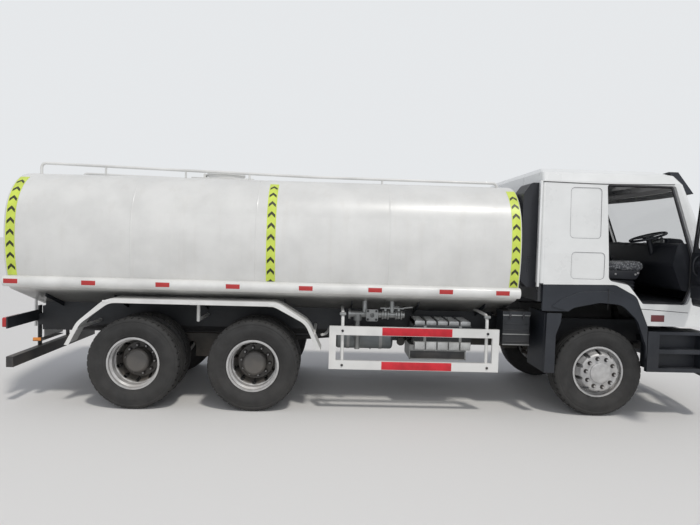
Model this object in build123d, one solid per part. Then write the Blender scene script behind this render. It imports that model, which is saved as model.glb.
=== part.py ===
from build123d import *
import math
import os

os.makedirs("parts", exist_ok=True)

# A three-axle tanker truck with a cab over the engine, in millimetres.
# The origin is on the ground, on the centreline below the front axle.
# X points forward, Y to the left and Z up.

# Axles and wheels
WHEELBASE = 4025.0
BOGIE_SPACING = 1350.0
TYRE_RADIUS = 525.0
TYRE_WIDTH = 300.0
TREAD_HALF = 118.0
TREAD_CROWN = 9.0
SHOULDER_DROP = 25.0
SHOULDER_OUT = 18.0
BEAD_RADIUS = 287.0
BEAD_HALF = 116.0
RIM_LIP_RADIUS = 298.5
RIM_LIP_WIDTH = 10.0
RIM_WALL = 9.0
RIM_WELL_RADIUS = 258.0
RIM_WELL_HALF = 60.0
WHEEL_OFFSET = 175.0
DISC_THICKNESS = 14.0
DISC_FLAT_RADIUS = 205.0
HUB_PILOT_RADIUS = 140.0
HAND_HOLES = 10
HAND_HOLE_RADIUS = 24.0
HAND_HOLE_CIRCLE = 232.0
FRONT_WHEEL_Y = 1011.0
FRONT_CAP_RADIUS = 121.0
FRONT_CAP_DEPTH = 20.0
REAR_HUB_Y = 915.0
REAR_HUB_END = 178.0
DRUM_RADIUS = 205.0
SPINDLE_RADIUS = 48.0
RUNNING_CLEARANCE = 0.05
FRONT_DRUM_BACK = -85.0
REAR_DRUM_BACK = -200.0

# Steering
KINGPIN_Y = 850.0
KINGPIN_RADIUS = 25.0
KINGPIN_BOSS_RADIUS = 45.0
KINGPIN_BOSS_HALF = 60.0
KNUCKLE_EAR = 30.0
KNUCKLE_GAP = 2.0
STEER_ARM_LENGTH = 230.0
STEER_ARM_TOP = 430.0
STEER_ARM_THICKNESS = 26.0
TIE_ROD_RADIUS = 18.0
TIE_EYE_RADIUS = 26.0
TIE_PIN_RADIUS = 12.0

# Chassis frame
RAIL_OUTER_Y = 430.0
RAIL_HEIGHT = 300.0
RAIL_TOP = 1060.0
RAIL_WALL = 10.0
RAIL_FLANGE = 80.0
FRAME_REAR_X = -6760.0
FRAME_FRONT_X = 1120.0
HORN_FRONT_X = 1480.0
HORN_TOP = 900.0
CROSS_MEMBER_RADIUS = 50.0
CROSS_MEMBER_DROP = 75.0
CROSS_MEMBER_XS = (-6600.0, -5975.0, -3250.0, -2250.0, -1650.0)

# Suspension and axles
SPRING_WIDTH = 90.0
LEAF_THICKNESS = 14.0
FRONT_SPRING_Y = 430.0
FRONT_SPRING_HALF = 800.0
FRONT_SPRING_MID_Z = 640.0
FRONT_SPRING_END_Z = 735.0
FRONT_LEAVES = 5
BEAM_HALF_WIDTH = 45.0
BEAM_HEIGHT = 100.0
BEAM_DROP = 60.0
BOGIE_SPRING_Y = 490.0
BOGIE_SPRING_TOP = 775.0
BOGIE_LEAVES = 7
AXLE_TUBE_RADIUS = 70.0
AXLE_TUBE_HALF = 700.0
DIFF_RADIUS = 205.0
SHAFT_RADIUS = 42.0
SHAFT_RISE = 135.0

# Engine and gearbox
ENGINE_REAR_X = -700.0
ENGINE_FRONT_X = 520.0
ENGINE_HALF_WIDTH = 320.0
ENGINE_TOP = 1240.0
SUMP_Z = 640.0
GEARBOX_REAR_X = -1480.0
GEARBOX_HALF_WIDTH = 230.0
GEARBOX_Z = 850.0

# Tank
TANK_REAR_X = -6822.0
TANK_FRONT_X = -981.0
TANK_BOTTOM = 1072.0
TANK_TOP = 2722.0
TANK_HALF_WIDTH = 1222.0
TANK_WIDEST_Z = 1920.0
TANK_CROWN_RADIUS = 5750.0
TANK_SIDE_RADIUS = 1600.0
TANK_SHOULDER_RADIUS = 590.0
TANK_LOW_RADIUS = 100.0
TANK_LOW_RADIUS_LEAST = 20.0
BELLY_FLAT_HALF = 300.0
BELLY_SLOPE = 18.2
HEAD_DEPTH = 52.0
HEAD_RIM = 60.0
HEAD_TAPER = 100.0
HEAD_KNUCKLE = 30.0
HEAD_KNUCKLE_DROP = 25.0
BAND_WIDTH = 45.0
BAND_THICKNESS = 6.0
SIDE_RAIL_LOW = 1365.0
SIDE_RAIL_HIGH = 1489.0
SIDE_RAIL_OUTER_Y = 1245.0
SIDE_RAIL_INNER_Y = 1105.0
BEARER_HEIGHT = 120.0
BEARER_INSET = 100.0
SADDLE_XS = (-6500.0, -5700.0, -4700.0, -3700.0, -2900.0, -2100.0, -1300.0)
SADDLE_THICKNESS = 12.0
SADDLE_HALF_WIDTH = 900.0
SADDLE_WING_LOW = 170.0
SADDLE_WING_HIGH = 330.0
HANDRAIL_Y = 600.0
HANDRAIL_RADIUS = 17.0
HANDRAIL_BEND = 55.0
HANDRAIL_ROOT = 25.0
HANDRAIL_POST_XS = (-5930.0, -4965.0, -4190.0, -2560.0)
LADDER_Y = 350.0
LADDER_OUT = 60.0
LADDER_TOP = 2560.0
LADDER_RADIUS = 17.0
LADDER_RUNGS = 7
LADDER_PITCH = 270.0
MANHOLE_X = -4580.0
MANHOLE_RADIUS = 250.0
MANHOLE_RISE = 60.0
LID_THICKNESS = 22.0
HATCH_PLATE_HALF = 390.0

# Mudguards and side guards
GUARD_FENDER_OUTER_Y = 1240.0
GUARD_FENDER_INNER_Y = 910.0
FENDER_SHEET = 6.0
FENDER_LIP = 50.0
FENDER_TOP = 1262.0
FENDER_LOW = 725.0
FENDER_REAR_X = -6135.0
FENDER_FRONT_X = -3252.0
FENDER_STAY_XS = (-6040.0, -3340.0)
FENDER_STAY_Z = 900.0
FENDER_STAY_RADIUS = 20.0
SIDE_GUARD_REAR_X = -3161.0
SIDE_GUARD_FRONT_X = -1208.0
SIDE_GUARD_LOW = 513.0
SIDE_GUARD_HIGH = 1006.0
SIDE_GUARD_TUBE_Z = 100.0
SIDE_GUARD_TUBE_X = 78.0
SIDE_GUARD_OUTER_Y = 1225.0
SIDE_GUARD_DEPTH = 45.0
HANGER_XS = (-3010.0, -1340.0)
HANGER_RADIUS = 19.0
HANGER_BITE = 3.0
HANGER_BEND = 90.0
HANGER_TOP = 1160.0

# Equipment on the rails
SILENCER_X = (-2150.0, -1465.0)
SILENCER_Y = (470.0, 930.0)
SILENCER_Z = (700.0, 1045.0)
SILENCER_RIBS = 5
SILENCER_RIB_GAP = 16.0
SILENCER_TRAY_DROP = 110.0
FUEL_TANK_X = (-2750.0, -1450.0)
FUEL_TANK_Y = (460.0, 1100.0)
FUEL_TANK_Z = (550.0, 1045.0)
AIR_TANK_X = (-3080.0, -2380.0)
AIR_TANK_RADIUS = 120.0
AIR_TANK_Y = 620.0
AIR_TANK_Z = 770.0
BATTERY_X = (-1108.0, -790.0)
BATTERY_Y = (740.0, 1010.0)
BATTERY_Z = (800.0, 1200.0)
OUTLET_Z = 1110.0
OUTLET_Y = 900.0
OUTLET_PIPE_RADIUS = 38.0
OUTLET_FLANGE_X = -2663.0
OUTLET_FLANGE_HALF = 70.0
OUTLET_FLANGE_THICKNESS = 18.0
OUTLET_BOLT_CIRCLE = 140.0
OUTLET_BOLT_RADIUS = 8.0
OUTLET_BORE_RADIUS = 25.0
OUTLET_BORE_DEPTH = 60.0

# Cab
CAB_REAR_X = -773.0
CAB_HALF_WIDTH = 1240.0
CAB_WALL = 45.0
CAB_BOTTOM = 1095.0
CAB_BELT = 1905.0
CAB_GUTTER = 2735.0
CAB_ROOF = 2888.0
CAB_FLOOR_Z = 1345.0
CAB_FLOOR_THICKNESS = 20.0
CAB_SKIRT_Z = 1545.0
CAB_CORNER = 110.0
CAB_REAR_CORNER = 38.0
CAB_SILL_FRONT_X = 1078.0
DOOR_GAP = 8.0
DOOR_OPEN_ANGLE = 80.0
DOOR_FRONT_X = 1036.0
HINGE_ZS = (1585.0, 1705.0)
HINGE_LENGTH = 50.0
MIRROR_X = (970.0, 1040.0)
MIRROR_Y = (1370.0, 1570.0)
MIRROR_Z = (1960.0, 2360.0)
MIRROR_ARM_FEET = ((940.0, 2020.0), (850.0, 2300.0))
MIRROR_ARM_RADIUS = 14.0
GLASS_THICKNESS = 6.0
WINDSCREEN_DEPTH = 12.0
DOOR_GLASS_DEPTH = 18.0
SEAL_GAP = 0.3
PANEL_RECESS = 6.0
TILT_X = 1240.0
TILT_Z = 1020.0
TILT_PIN_RADIUS = 20.0
TILT_BOSS_RADIUS = 40.0
TILT_LUG_Y = (320.0, 380.0)
ARCH_FOOT_X = 507.0
ARCH_FOOT_Z = 690.0
ARCH_LIP = 7.0
GRILLE_SKIN = 14.0
GRILLE_SLOTS = 4
GRILLE_SLOT_Z = 1240.0
GRILLE_SLOT_PITCH = 105.0
GRILLE_SLOT_HEIGHT = 55.0
GRILLE_SLOT_HALF = 690.0
VISOR_Z = (2640.0, 2885.0)
VISOR_NOSE_X = (1160.0, 965.0)
VISOR_DEPTH = 115.0
VISOR_HALF_WIDTH = 1110.0
VISOR_BULGE = 112.0
VISOR_SHEET = 12.0
INTAKE_Y = (720.0, 1100.0)
SEAT_Y = 620.0
BUNK_DEPTH = 480.0
BUNK_HEIGHT = 420.0
BUNK_HALF_WIDTH = 1140.0
DASH_HALF_WIDTH = 1150.0
HOOD_HALF_WIDTH = 210.0
STEERING_X = 800.0
STEERING_Y = -620.0
STEERING_Z = 2130.0
STEERING_RAKE = 17.0
STEERING_RADIUS = 210.0
STEERING_RIM_RADIUS = 15.0
STEERING_COLUMN = 560.0

# Bumper, lamps and steps
BUMPER_LOW = 420.0
BUMPER_TOP = 930.0
BUMPER_SKIN = 14.0
BUMPER_FLANGE = 60.0
BUMPER_CORNER_X = 1390.0
BUMPER_CORNER_RADIUS = 120.0
BUMPER_BULGE = 150.0
BUMPER_REAR_X = 1240.0
LAMP_DEPTH = 45.0
STEP_X = (620.0, 1230.0)
STEP_INNER_Y = 900.0
STEP_OUTER_Y = 1238.0
STEP_Z = (560.0, 1030.0)
STEP_TREAD_DEPTH = 150.0
STEP_LIP_X = 523.0
FLAP_X = (-675.0, -625.0)
FLAP_Y = (640.0, 1175.0)
FLAP_Z = (522.0, 1215.0)
FLAP_LIP_Y = 1232.0
REAR_BAR_Z = 500.0
REAR_BAR_HALF_WIDTH = 1150.0

# Columns: height, half width, rear wall X, front corner X, bulge of the front at the middle
CAB_SECTIONS = [
    (CAB_BOTTOM, CAB_HALF_WIDTH, CAB_REAR_X, 1250.0, 150.0),
    (CAB_BELT, CAB_HALF_WIDTH, CAB_REAR_X, 1240.0, 145.0),
    (CAB_GUTTER, CAB_HALF_WIDTH - 32.0, CAB_REAR_X, 880.0, 130.0),
    (CAB_ROOF - 53.0, CAB_HALF_WIDTH - 68.0, CAB_REAR_X + 5.0, 790.0, 120.0),
    (CAB_ROOF, CAB_HALF_WIDTH - 200.0, CAB_REAR_X + 40.0, 640.0, 100.0),
]

# The cab's side, columns: X, Z, corner radius
SKIRT_EDGE = [
    (CAB_REAR_X + CAB_WALL, CAB_SKIRT_Z, 0),
    (110.0, CAB_SKIRT_Z + 15.0, 150),
    (365.0, 1430.0, 120),
    (ARCH_FOOT_X, CAB_BOTTOM, 0),
]
DOOR_OPENING = [
    (-20.0, 2712.0, 35),
    (30.0, 1605.0, 60),
    (265.0, 1562.0, 90),
    (440.0, 1347.0, 40),
    (960.0, 1347.0, 60),
    (DOOR_FRONT_X, 1540.0, 120),
    (DOOR_FRONT_X, 1900.0, 220),
    (775.0, 2712.0, 35),
]
DOOR_WINDOW = [
    (55.0, 2640.0, 50),
    (85.0, 1990.0, 60),
    (888.0, 1990.0, 60),
    (706.0, 2640.0, 50),
]
PILLAR_LINE = [
    (CAB_SILL_FRONT_X, CAB_BOTTOM),
    (CAB_SILL_FRONT_X, 1885.0),
    (818.0, CAB_GUTTER),
]
ARCH_OPENING = [
    (ARCH_FOOT_X, ARCH_FOOT_Z, 0),
    (494.0, 868.0, 200),
    (385.0, 1157.0, 200),
    (199.0, 1330.0, 200),
    (-60.0, 1350.0, 300),
    (-366.0, 1285.0, 150),
    (-430.0, 1240.0, 0),
]
ARCH_FLARE_EDGE = [
    (-620.0, 1296.0, 0),
    (-516.0, 1375.0, 150),
    (-298.0, 1469.0, 300),
    (60.0, 1487.0, 300),
    (352.0, 1375.0, 150),
    (ARCH_FOOT_X, 1083.0, 0),
]
PRESSED_PANELS = [
    [(-440.0, 2665.0, 45), (-82.0, 2665.0, 45), (-82.0, 2085.0, 45), (-440.0, 2085.0, 45)],
    [(-415.0, 1925.0, 45), (-28.0, 1925.0, 45), (-28.0, 1618.0, 45), (-415.0, 1618.0, 45)],
]

# The cab's front, columns: Y, Z, corner radius
WINDSCREEN_OPENING = [
    (-1055.0, 1945.0, 90),
    (1055.0, 1945.0, 90),
    (975.0, 2685.0, 90),
    (-975.0, 2685.0, 90),
]
GRILLE_OUTLINE = [
    (-820.0, 1190.0, 50),
    (820.0, 1190.0, 50),
    (760.0, 1690.0, 60),
    (-760.0, 1690.0, 60),
]
LAMP_OUTLINE = [
    (700.0, 590.0, 30),
    (1080.0, 590.0, 30),
    (1080.0, 800.0, 30),
    (700.0, 800.0, 30),
]
BUMPER_INTAKE = [
    (-480.0, 520.0, 25),
    (480.0, 520.0, 25),
    (480.0, 640.0, 25),
    (-480.0, 640.0, 25),
]

# The intake duct behind the cab, columns: X, Z, corner radius
INTAKE_OUTLINE = [
    (CAB_REAR_X, 1500.0, 0),
    (CAB_REAR_X, 2715.0, 0),
    (-858.0, 2715.0, 60),
    (-952.0, 2585.0, 70),
    (-952.0, 1575.0, 40),
    (-880.0, 1500.0, 40),
]

# The seat's pieces: half width, then X, height above the floor and corner radius
SEAT_PIECES = [
    (200.0, [(210.0, 0.0, 0), (560.0, 0.0, 0), (560.0, 260.0, 0), (210.0, 260.0, 0)]),
    (225.0, [(160.0, 235.0, 20), (620.0, 235.0, 20), (620.0, 350.0, 20), (160.0, 350.0, 20)]),
    (250.0, [(140.0, 340.0, 30), (648.0, 345.0, 45), (648.0, 463.0, 45), (140.0, 440.0, 40)]),
    (240.0, [(80.0, 380.0, 30), (250.0, 380.0, 30), (140.0, 1000.0, 50), (30.0, 1000.0, 50)]),
    (140.0, [(40.0, 995.0, 20), (130.0, 995.0, 20), (120.0, 1180.0, 35), (30.0, 1180.0, 35)]),
]

# The dashboard and its hood, columns: X, Z, corner radius
DASH_OUTLINE = [
    (1700.0, 1500.0, 0),
    (940.0, 1500.0, 60),
    (820.0, 1800.0, 100),
    (870.0, 2060.0, 60),
    (1700.0, 2030.0, 0),
]
HOOD_OUTLINE = [
    (950.0, 2020.0, 20),
    (960.0, 2120.0, 40),
    (1100.0, 2100.0, 60),
    (1180.0, 2020.0, 0),
]

# The wheel flap's side lip, columns: X, Z, corner radius
FLAP_LIP_OUTLINE = [
    (-668.0, FLAP_Z[1], 0),
    (-495.0, FLAP_Z[1], 0),
    (-502.0, 1120.0, 60),
    (-556.0, 960.0, 60),
    (-556.0, FLAP_Z[0], 0),
    (FLAP_X[0], FLAP_Z[0], 0),
]

# The long rails on the tank, columns: X, height above the tank's top
HANDRAIL_LINE = [
    (-1130.0, 18.0),
    (-3400.0, 26.0),
    (-6700.0, 96.0),
]

# The rear mudguard's outer line, columns: X, Z, corner radius
FENDER_LINE = [
    (FENDER_REAR_X, FENDER_LOW, 0),
    (-6000.0, 985.0, 260),
    (-5680.0, FENDER_TOP, 260),
    (-3760.0, FENDER_TOP, 260),
    (-3400.0, 1040.0, 260),
    (FENDER_FRONT_X, FENDER_LOW, 0),
]

# Worked out from the sizes above
AXLE_Z = TYRE_RADIUS
REAR_AXLE_XS = (-WHEELBASE, -WHEELBASE - BOGIE_SPACING)
BOGIE_MID_X = -WHEELBASE - BOGIE_SPACING / 2
SHAFT_Z = AXLE_Z + SHAFT_RISE
RAIL_BOTTOM = RAIL_TOP - RAIL_HEIGHT
RAIL_INNER_Y = RAIL_OUTER_Y - RAIL_FLANGE


def block(x0, x1, y0, y1, z0, z1):
    """Gives the box between two corners."""
    middle = ((x0 + x1) / 2, (y0 + y1) / 2, (z0 + z1) / 2)
    return Pos(*middle) * Box(abs(x1 - x0), abs(y1 - y0), abs(z1 - z0))


def rod(start, end, radius):
    """Gives a round bar from start to end."""
    start, end = Vector(*start), Vector(*end)
    axis = end - start
    return extrude(Plane(origin=start, z_dir=axis) * Circle(radius), axis.length)


def outline(rows):
    """Gives the face of a closed outline, from rows of two coordinates and a corner radius."""
    face = make_face(Polyline(*[row[:2] for row in rows], close=True))
    for first, second, radius in rows:
        if radius:
            face = fillet(face.vertices().sort_by_distance((first, second, 0))[0], radius)
    return face


def side_prism(face, y0, y1):
    """Extrudes a face drawn in X and Z from y0 to y1."""
    plane = Plane(origin=(0, max(y0, y1), 0), x_dir=(1, 0, 0), z_dir=(0, -1, 0))
    return extrude(plane * face, abs(y1 - y0))


def cross_prism(face, x0, x1):
    """Extrudes a face drawn in Y and Z from x0 to x1."""
    plane = Plane(origin=(x0, 0, 0), x_dir=(0, 1, 0), z_dir=(1, 0, 0))
    return extrude(plane * face, x1 - x0)


def pipe(points, radius, bend):
    """Sweeps a round bar along straight runs joined by bends."""
    path = FilletPolyline(*points, radius=bend)
    return sweep(Plane(origin=path @ 0, z_dir=path % 0) * Circle(radius), path)


def ring(rows):
    """Revolves an outline, rows of radius and Y, about the Y axis."""
    return revolve(make_face(Polyline(*rows, close=True)), Axis.Y)


def other_side(shape):
    """Mirrors a shape across the truck's middle plane."""
    return mirror(shape, Plane.XZ)


def solids_of(shapes):
    """Lists the solids of one shape or of a list of shapes."""
    found = []
    for shape in shapes if isinstance(shapes, (list, tuple)) else [shapes]:
        found += list(shape.solids())
    return found


def both_sides(shapes):
    """Gives left shapes and their right twins as one list of solids."""
    left = solids_of(shapes)
    return left + [other_side(solid) for solid in left]


def save(name, shapes):
    """Writes one node's solids to its own file."""
    export_step(Compound(children=solids_of(shapes)), f"parts/{name}.step")


# Wheels, drawn about the Y axis with the outside of the truck at +Y

def tyre():
    """Gives one tyre, centred on the origin."""
    half = TYRE_WIDTH / 2
    shoulder = TYRE_RADIUS - TREAD_CROWN
    bulge_radius = BEAD_RADIUS + 0.48 * (TYRE_RADIUS - BEAD_RADIUS)
    side = (shoulder - SHOULDER_DROP, TREAD_HALF + SHOULDER_OUT)
    low_side = (side[0], -side[1])
    heel = RIM_LIP_RADIUS + 3
    edges = [
        Line((BEAD_RADIUS, -BEAD_HALF), (BEAD_RADIUS, BEAD_HALF)),
        Line((BEAD_RADIUS, BEAD_HALF), (heel, BEAD_HALF)),
        ThreePointArc((heel, BEAD_HALF), (bulge_radius, half), side),
        Line(side, (shoulder, TREAD_HALF)),
        ThreePointArc((shoulder, TREAD_HALF), (TYRE_RADIUS, 0), (shoulder, -TREAD_HALF)),
        Line((shoulder, -TREAD_HALF), low_side),
        ThreePointArc(low_side, (bulge_radius, -half), (heel, -BEAD_HALF)),
        Line((heel, -BEAD_HALF), (BEAD_RADIUS, -BEAD_HALF)),
    ]
    return revolve(make_face(edges), Axis.Y)


def rim_band():
    """Gives the rolled rim that one tyre sits on, with its lips and its well."""
    seat = BEAD_RADIUS
    inner = seat - RIM_WALL
    lip_in = BEAD_HALF
    lip_out = BEAD_HALF + RIM_LIP_WIDTH
    well_edge = RIM_WELL_HALF + 20
    return ring([
        (inner, -lip_out), (RIM_LIP_RADIUS, -lip_out), (RIM_LIP_RADIUS, -lip_in - 1), (seat, -lip_in - 1),
        (seat, lip_in + 1), (RIM_LIP_RADIUS, lip_in + 1), (RIM_LIP_RADIUS, lip_out), (inner, lip_out),
        (inner, well_edge), (RIM_WELL_RADIUS, RIM_WELL_HALF),
        (RIM_WELL_RADIUS, -RIM_WELL_HALF), (inner, -well_edge),
    ])


def wheel_disc():
    """Gives the pressed disc, dished from the rim's well out to its hub face at +Y."""
    face = WHEEL_OFFSET
    back = face - DISC_THICKNESS
    disc = ring([
        (HUB_PILOT_RADIUS, back), (HUB_PILOT_RADIUS, face), (DISC_FLAT_RADIUS, face),
        (DISC_FLAT_RADIUS + 17, face - 12), (RIM_WELL_RADIUS - 8, RIM_WELL_HALF),
        (RIM_WELL_RADIUS, RIM_WELL_HALF - 5), (RIM_WELL_RADIUS, RIM_WELL_HALF / 2),
        (RIM_WELL_RADIUS - 18, RIM_WELL_HALF / 2 + 10), (DISC_FLAT_RADIUS, back),
    ])
    for index in range(HAND_HOLES):
        start = (HAND_HOLE_CIRCLE, RIM_WELL_HALF / 2 + 5, 0)
        hole = rod(start, (HAND_HOLE_CIRCLE, face, 0), HAND_HOLE_RADIUS)
        disc -= Rot(0, (index + 0.5) * 360 / HAND_HOLES, 0) * hole
    return disc


def front_wheel_metal():
    """Gives a front wheel's rim, disc, hub and brake drum as one piece."""
    bore = SPINDLE_RADIUS + RUNNING_CLEARANCE
    back = WHEEL_OFFSET - DISC_THICKNESS
    cap = WHEEL_OFFSET + FRONT_CAP_DEPTH
    drum_front = FRONT_DRUM_BACK + 195
    hub = ring([
        (bore, FRONT_DRUM_BACK), (DRUM_RADIUS, FRONT_DRUM_BACK), (DRUM_RADIUS, drum_front),
        (HUB_PILOT_RADIUS + 10, drum_front + 15), (HUB_PILOT_RADIUS + 10, back), (HUB_PILOT_RADIUS, back),
        (HUB_PILOT_RADIUS, WHEEL_OFFSET + 2), (FRONT_CAP_RADIUS, WHEEL_OFFSET + 4),
        (FRONT_CAP_RADIUS - 4, cap - 3), (FRONT_CAP_RADIUS - 16, cap), (0, cap), (0, drum_front),
        (bore, drum_front),
    ])
    return rim_band() + wheel_disc() + hub


def rear_wheel_metal():
    """Gives a twin wheel's two rims and discs with the reduction hub and the drum as one piece."""
    bore = SPINDLE_RADIUS + RUNNING_CLEARANCE
    outer = Pos(0, WHEEL_OFFSET, 0) * mirror(rim_band() + wheel_disc(), Plane.XZ)
    inner = Pos(0, -WHEEL_OFFSET, 0) * (rim_band() + wheel_disc())
    hub = ring([
        (bore, REAR_DRUM_BACK), (DRUM_RADIUS, REAR_DRUM_BACK), (DRUM_RADIUS, -45), (HUB_PILOT_RADIUS + 25, -30),
        (HUB_PILOT_RADIUS + 25, -DISC_THICKNESS), (HUB_PILOT_RADIUS, -DISC_THICKNESS),
        (HUB_PILOT_RADIUS, REAR_HUB_END - 25), (HUB_PILOT_RADIUS - 12, REAR_HUB_END - 10),
        (HUB_PILOT_RADIUS - 30, REAR_HUB_END), (0, REAR_HUB_END), (0, 90), (bore, 90),
    ])
    return outer + inner + hub


def save_wheels():
    """Writes the tyres and the wheels of every axle."""
    single, metal, twin_metal = tyre(), front_wheel_metal(), rear_wheel_metal()
    twins = [Pos(0, side * WHEEL_OFFSET, 0) * single for side in (1, -1)]
    for name, sign in (("left", 1), ("right", -1)):
        front = Pos(0, FRONT_WHEEL_Y, AXLE_Z)
        for kind, shape in (("tyre", single), ("rim", metal)):
            placed = front * shape
            save(f"{kind}_front_{name}", placed if sign > 0 else other_side(placed))
        for row, x in enumerate(REAR_AXLE_XS, start=2):
            place = Pos(x, REAR_HUB_Y, AXLE_Z)
            tyres = [place * shape for shape in twins]
            rims = solids_of(place * twin_metal)
            save(f"tyres_axle{row}_{name}", tyres if sign > 0 else [other_side(s) for s in tyres])
            save(f"rims_axle{row}_{name}", rims if sign > 0 else [other_side(s) for s in rims])


# Front axle, knuckles and tie rod

def front_axle():
    """Gives the forged beam with a boss for the kingpin at each end and pads for the springs."""
    low, high = AXLE_Z - BEAM_HEIGHT / 2, AXLE_Z + BEAM_HEIGHT / 2
    pad = FRONT_SPRING_Y + SPRING_WIDTH / 2 + 15
    drop = BEAM_DROP
    face = outline([
        (-KINGPIN_Y, high, 0), (-pad - 90, high, 30), (-pad + 130, high - drop, 60),
        (pad - 130, high - drop, 60), (pad + 90, high, 30), (KINGPIN_Y, high, 0),
        (KINGPIN_Y, low, 0), (pad + 60, low, 30), (pad - 150, low - drop, 60),
        (-pad + 150, low - drop, 60), (-pad - 60, low, 30), (-KINGPIN_Y, low, 0),
    ])
    beam = cross_prism(face, -BEAM_HALF_WIDTH, BEAM_HALF_WIDTH)
    spring_low = FRONT_SPRING_MID_Z - FRONT_LEAVES * LEAF_THICKNESS
    for side in (1, -1):
        y0 = side * (FRONT_SPRING_Y - SPRING_WIDTH / 2)
        y1 = side * (FRONT_SPRING_Y + SPRING_WIDTH / 2)
        beam += block(-80, 80, y0, y1, high - drop, spring_low)
        centre = (0, side * KINGPIN_Y)
        boss_low, boss_high = AXLE_Z - KINGPIN_BOSS_HALF, AXLE_Z + KINGPIN_BOSS_HALF
        beam += rod((*centre, boss_low), (*centre, boss_high), KINGPIN_BOSS_RADIUS)
        beam -= rod((*centre, boss_low - 10), (*centre, boss_high + 10), KINGPIN_RADIUS + RUNNING_CLEARANCE)
        beam -= block(-100, 100, side * (KINGPIN_Y + KINGPIN_BOSS_RADIUS), side * (KINGPIN_Y + 100), low, high)
    return beam


def knuckle():
    """Gives the left steering knuckle: fork, kingpin, backing plate, spindle and steering arm."""
    ear_low = AXLE_Z - KINGPIN_BOSS_HALF - KNUCKLE_GAP - KNUCKLE_EAR
    ear_high = AXLE_Z + KINGPIN_BOSS_HALF + KNUCKLE_GAP + KNUCKLE_EAR
    plate_out = FRONT_WHEEL_Y + FRONT_DRUM_BACK - 6
    plate_in = plate_out - 16
    half = KINGPIN_BOSS_RADIUS
    shape = rod((0, KINGPIN_Y, ear_low), (0, KINGPIN_Y, ear_high), KINGPIN_RADIUS)
    for low, high in ((ear_low, ear_low + KNUCKLE_EAR), (ear_high - KNUCKLE_EAR, ear_high)):
        shape += rod((0, KINGPIN_Y, low), (0, KINGPIN_Y, high), half)
        shape += block(-half, half, KINGPIN_Y, plate_out, low, high)
    shape += block(-half - 15, half + 15, plate_in, plate_out, ear_low, ear_high)
    shape += rod((0, plate_out - 8, AXLE_Z), (0, plate_out, AXLE_Z), DRUM_RADIUS - 10)
    shape += rod((0, plate_in, AXLE_Z), (0, FRONT_WHEEL_Y + FRONT_DRUM_BACK + 190, AXLE_Z), SPINDLE_RADIUS)
    arm_low = STEER_ARM_TOP - STEER_ARM_THICKNESS
    shape += block(-STEER_ARM_LENGTH, 0, KINGPIN_Y - 22, KINGPIN_Y + 22, arm_low, STEER_ARM_TOP)
    end = (-STEER_ARM_LENGTH, KINGPIN_Y)
    shape += rod((*end, arm_low), (*end, STEER_ARM_TOP), TIE_EYE_RADIUS)
    shape += rod((0, KINGPIN_Y, arm_low), (0, KINGPIN_Y, ear_low + 1), half)
    pin_low = arm_low - 2 * TIE_EYE_RADIUS
    shape += rod((*end, pin_low), (*end, arm_low), TIE_PIN_RADIUS)
    return shape


def tie_rod():
    """Gives the tie rod with an eye on each arm's pin, hung just under the arms."""
    top = STEER_ARM_TOP - STEER_ARM_THICKNESS - 2
    low = top - 40
    middle = (top + low) / 2
    x = -STEER_ARM_LENGTH
    bar = rod((x, -KINGPIN_Y, middle), (x, KINGPIN_Y, middle), TIE_ROD_RADIUS)
    for side in (1, -1):
        bar += rod((x, side * KINGPIN_Y, low), (x, side * KINGPIN_Y, top), TIE_EYE_RADIUS)
    bore = TIE_PIN_RADIUS + RUNNING_CLEARANCE
    for side in (1, -1):
        bar -= rod((x, side * KINGPIN_Y, low - 30), (x, side * KINGPIN_Y, top + 30), bore)
    return bar


# Chassis frame, springs and rear axles

def channel(x0, x1, top):
    """Gives the left channel rail between two places, open towards the middle."""
    wall = RAIL_WALL
    solid = block(x0, x1, RAIL_INNER_Y, RAIL_OUTER_Y, RAIL_BOTTOM, top)
    return solid - block(x0 - 1, x1 + 1, RAIL_INNER_Y - 1, RAIL_OUTER_Y - wall, RAIL_BOTTOM + wall, top - wall)


def frame():
    """Gives the ladder frame: rails with horns, the tilt pins' brackets on them, and cross members between them."""
    rail = channel(FRAME_REAR_X, FRAME_FRONT_X, RAIL_TOP) + channel(FRAME_FRONT_X, HORN_FRONT_X, HORN_TOP)
    bracket_y = (RAIL_OUTER_Y - 2 * RAIL_WALL, RAIL_OUTER_Y)
    bracket = block(TILT_X - 45, TILT_X + 45, *bracket_y, HORN_TOP + SEAL_GAP, TILT_Z)
    bracket += rod((TILT_X, bracket_y[0], TILT_Z), (TILT_X, bracket_y[1], TILT_Z), 45)
    bracket += rod((TILT_X, TILT_LUG_Y[0] - 20, TILT_Z), (TILT_X, bracket_y[1], TILT_Z), TILT_PIN_RADIUS)
    pieces = both_sides([rail, bracket])
    middle_z = RAIL_TOP - CROSS_MEMBER_DROP
    reach = RAIL_OUTER_Y - RAIL_WALL - SEAL_GAP
    for x in CROSS_MEMBER_XS:
        pieces.append(rod((x, -reach, middle_z), (x, reach, middle_z), CROSS_MEMBER_RADIUS))
    pieces.append(block(FRAME_REAR_X, FRAME_REAR_X + RAIL_WALL, -reach, reach, RAIL_BOTTOM + 40, RAIL_TOP - 20))
    pieces.append(block(HORN_FRONT_X - 80, HORN_FRONT_X, -reach, reach, RAIL_BOTTOM + 20, HORN_TOP - 20))
    return pieces


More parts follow.
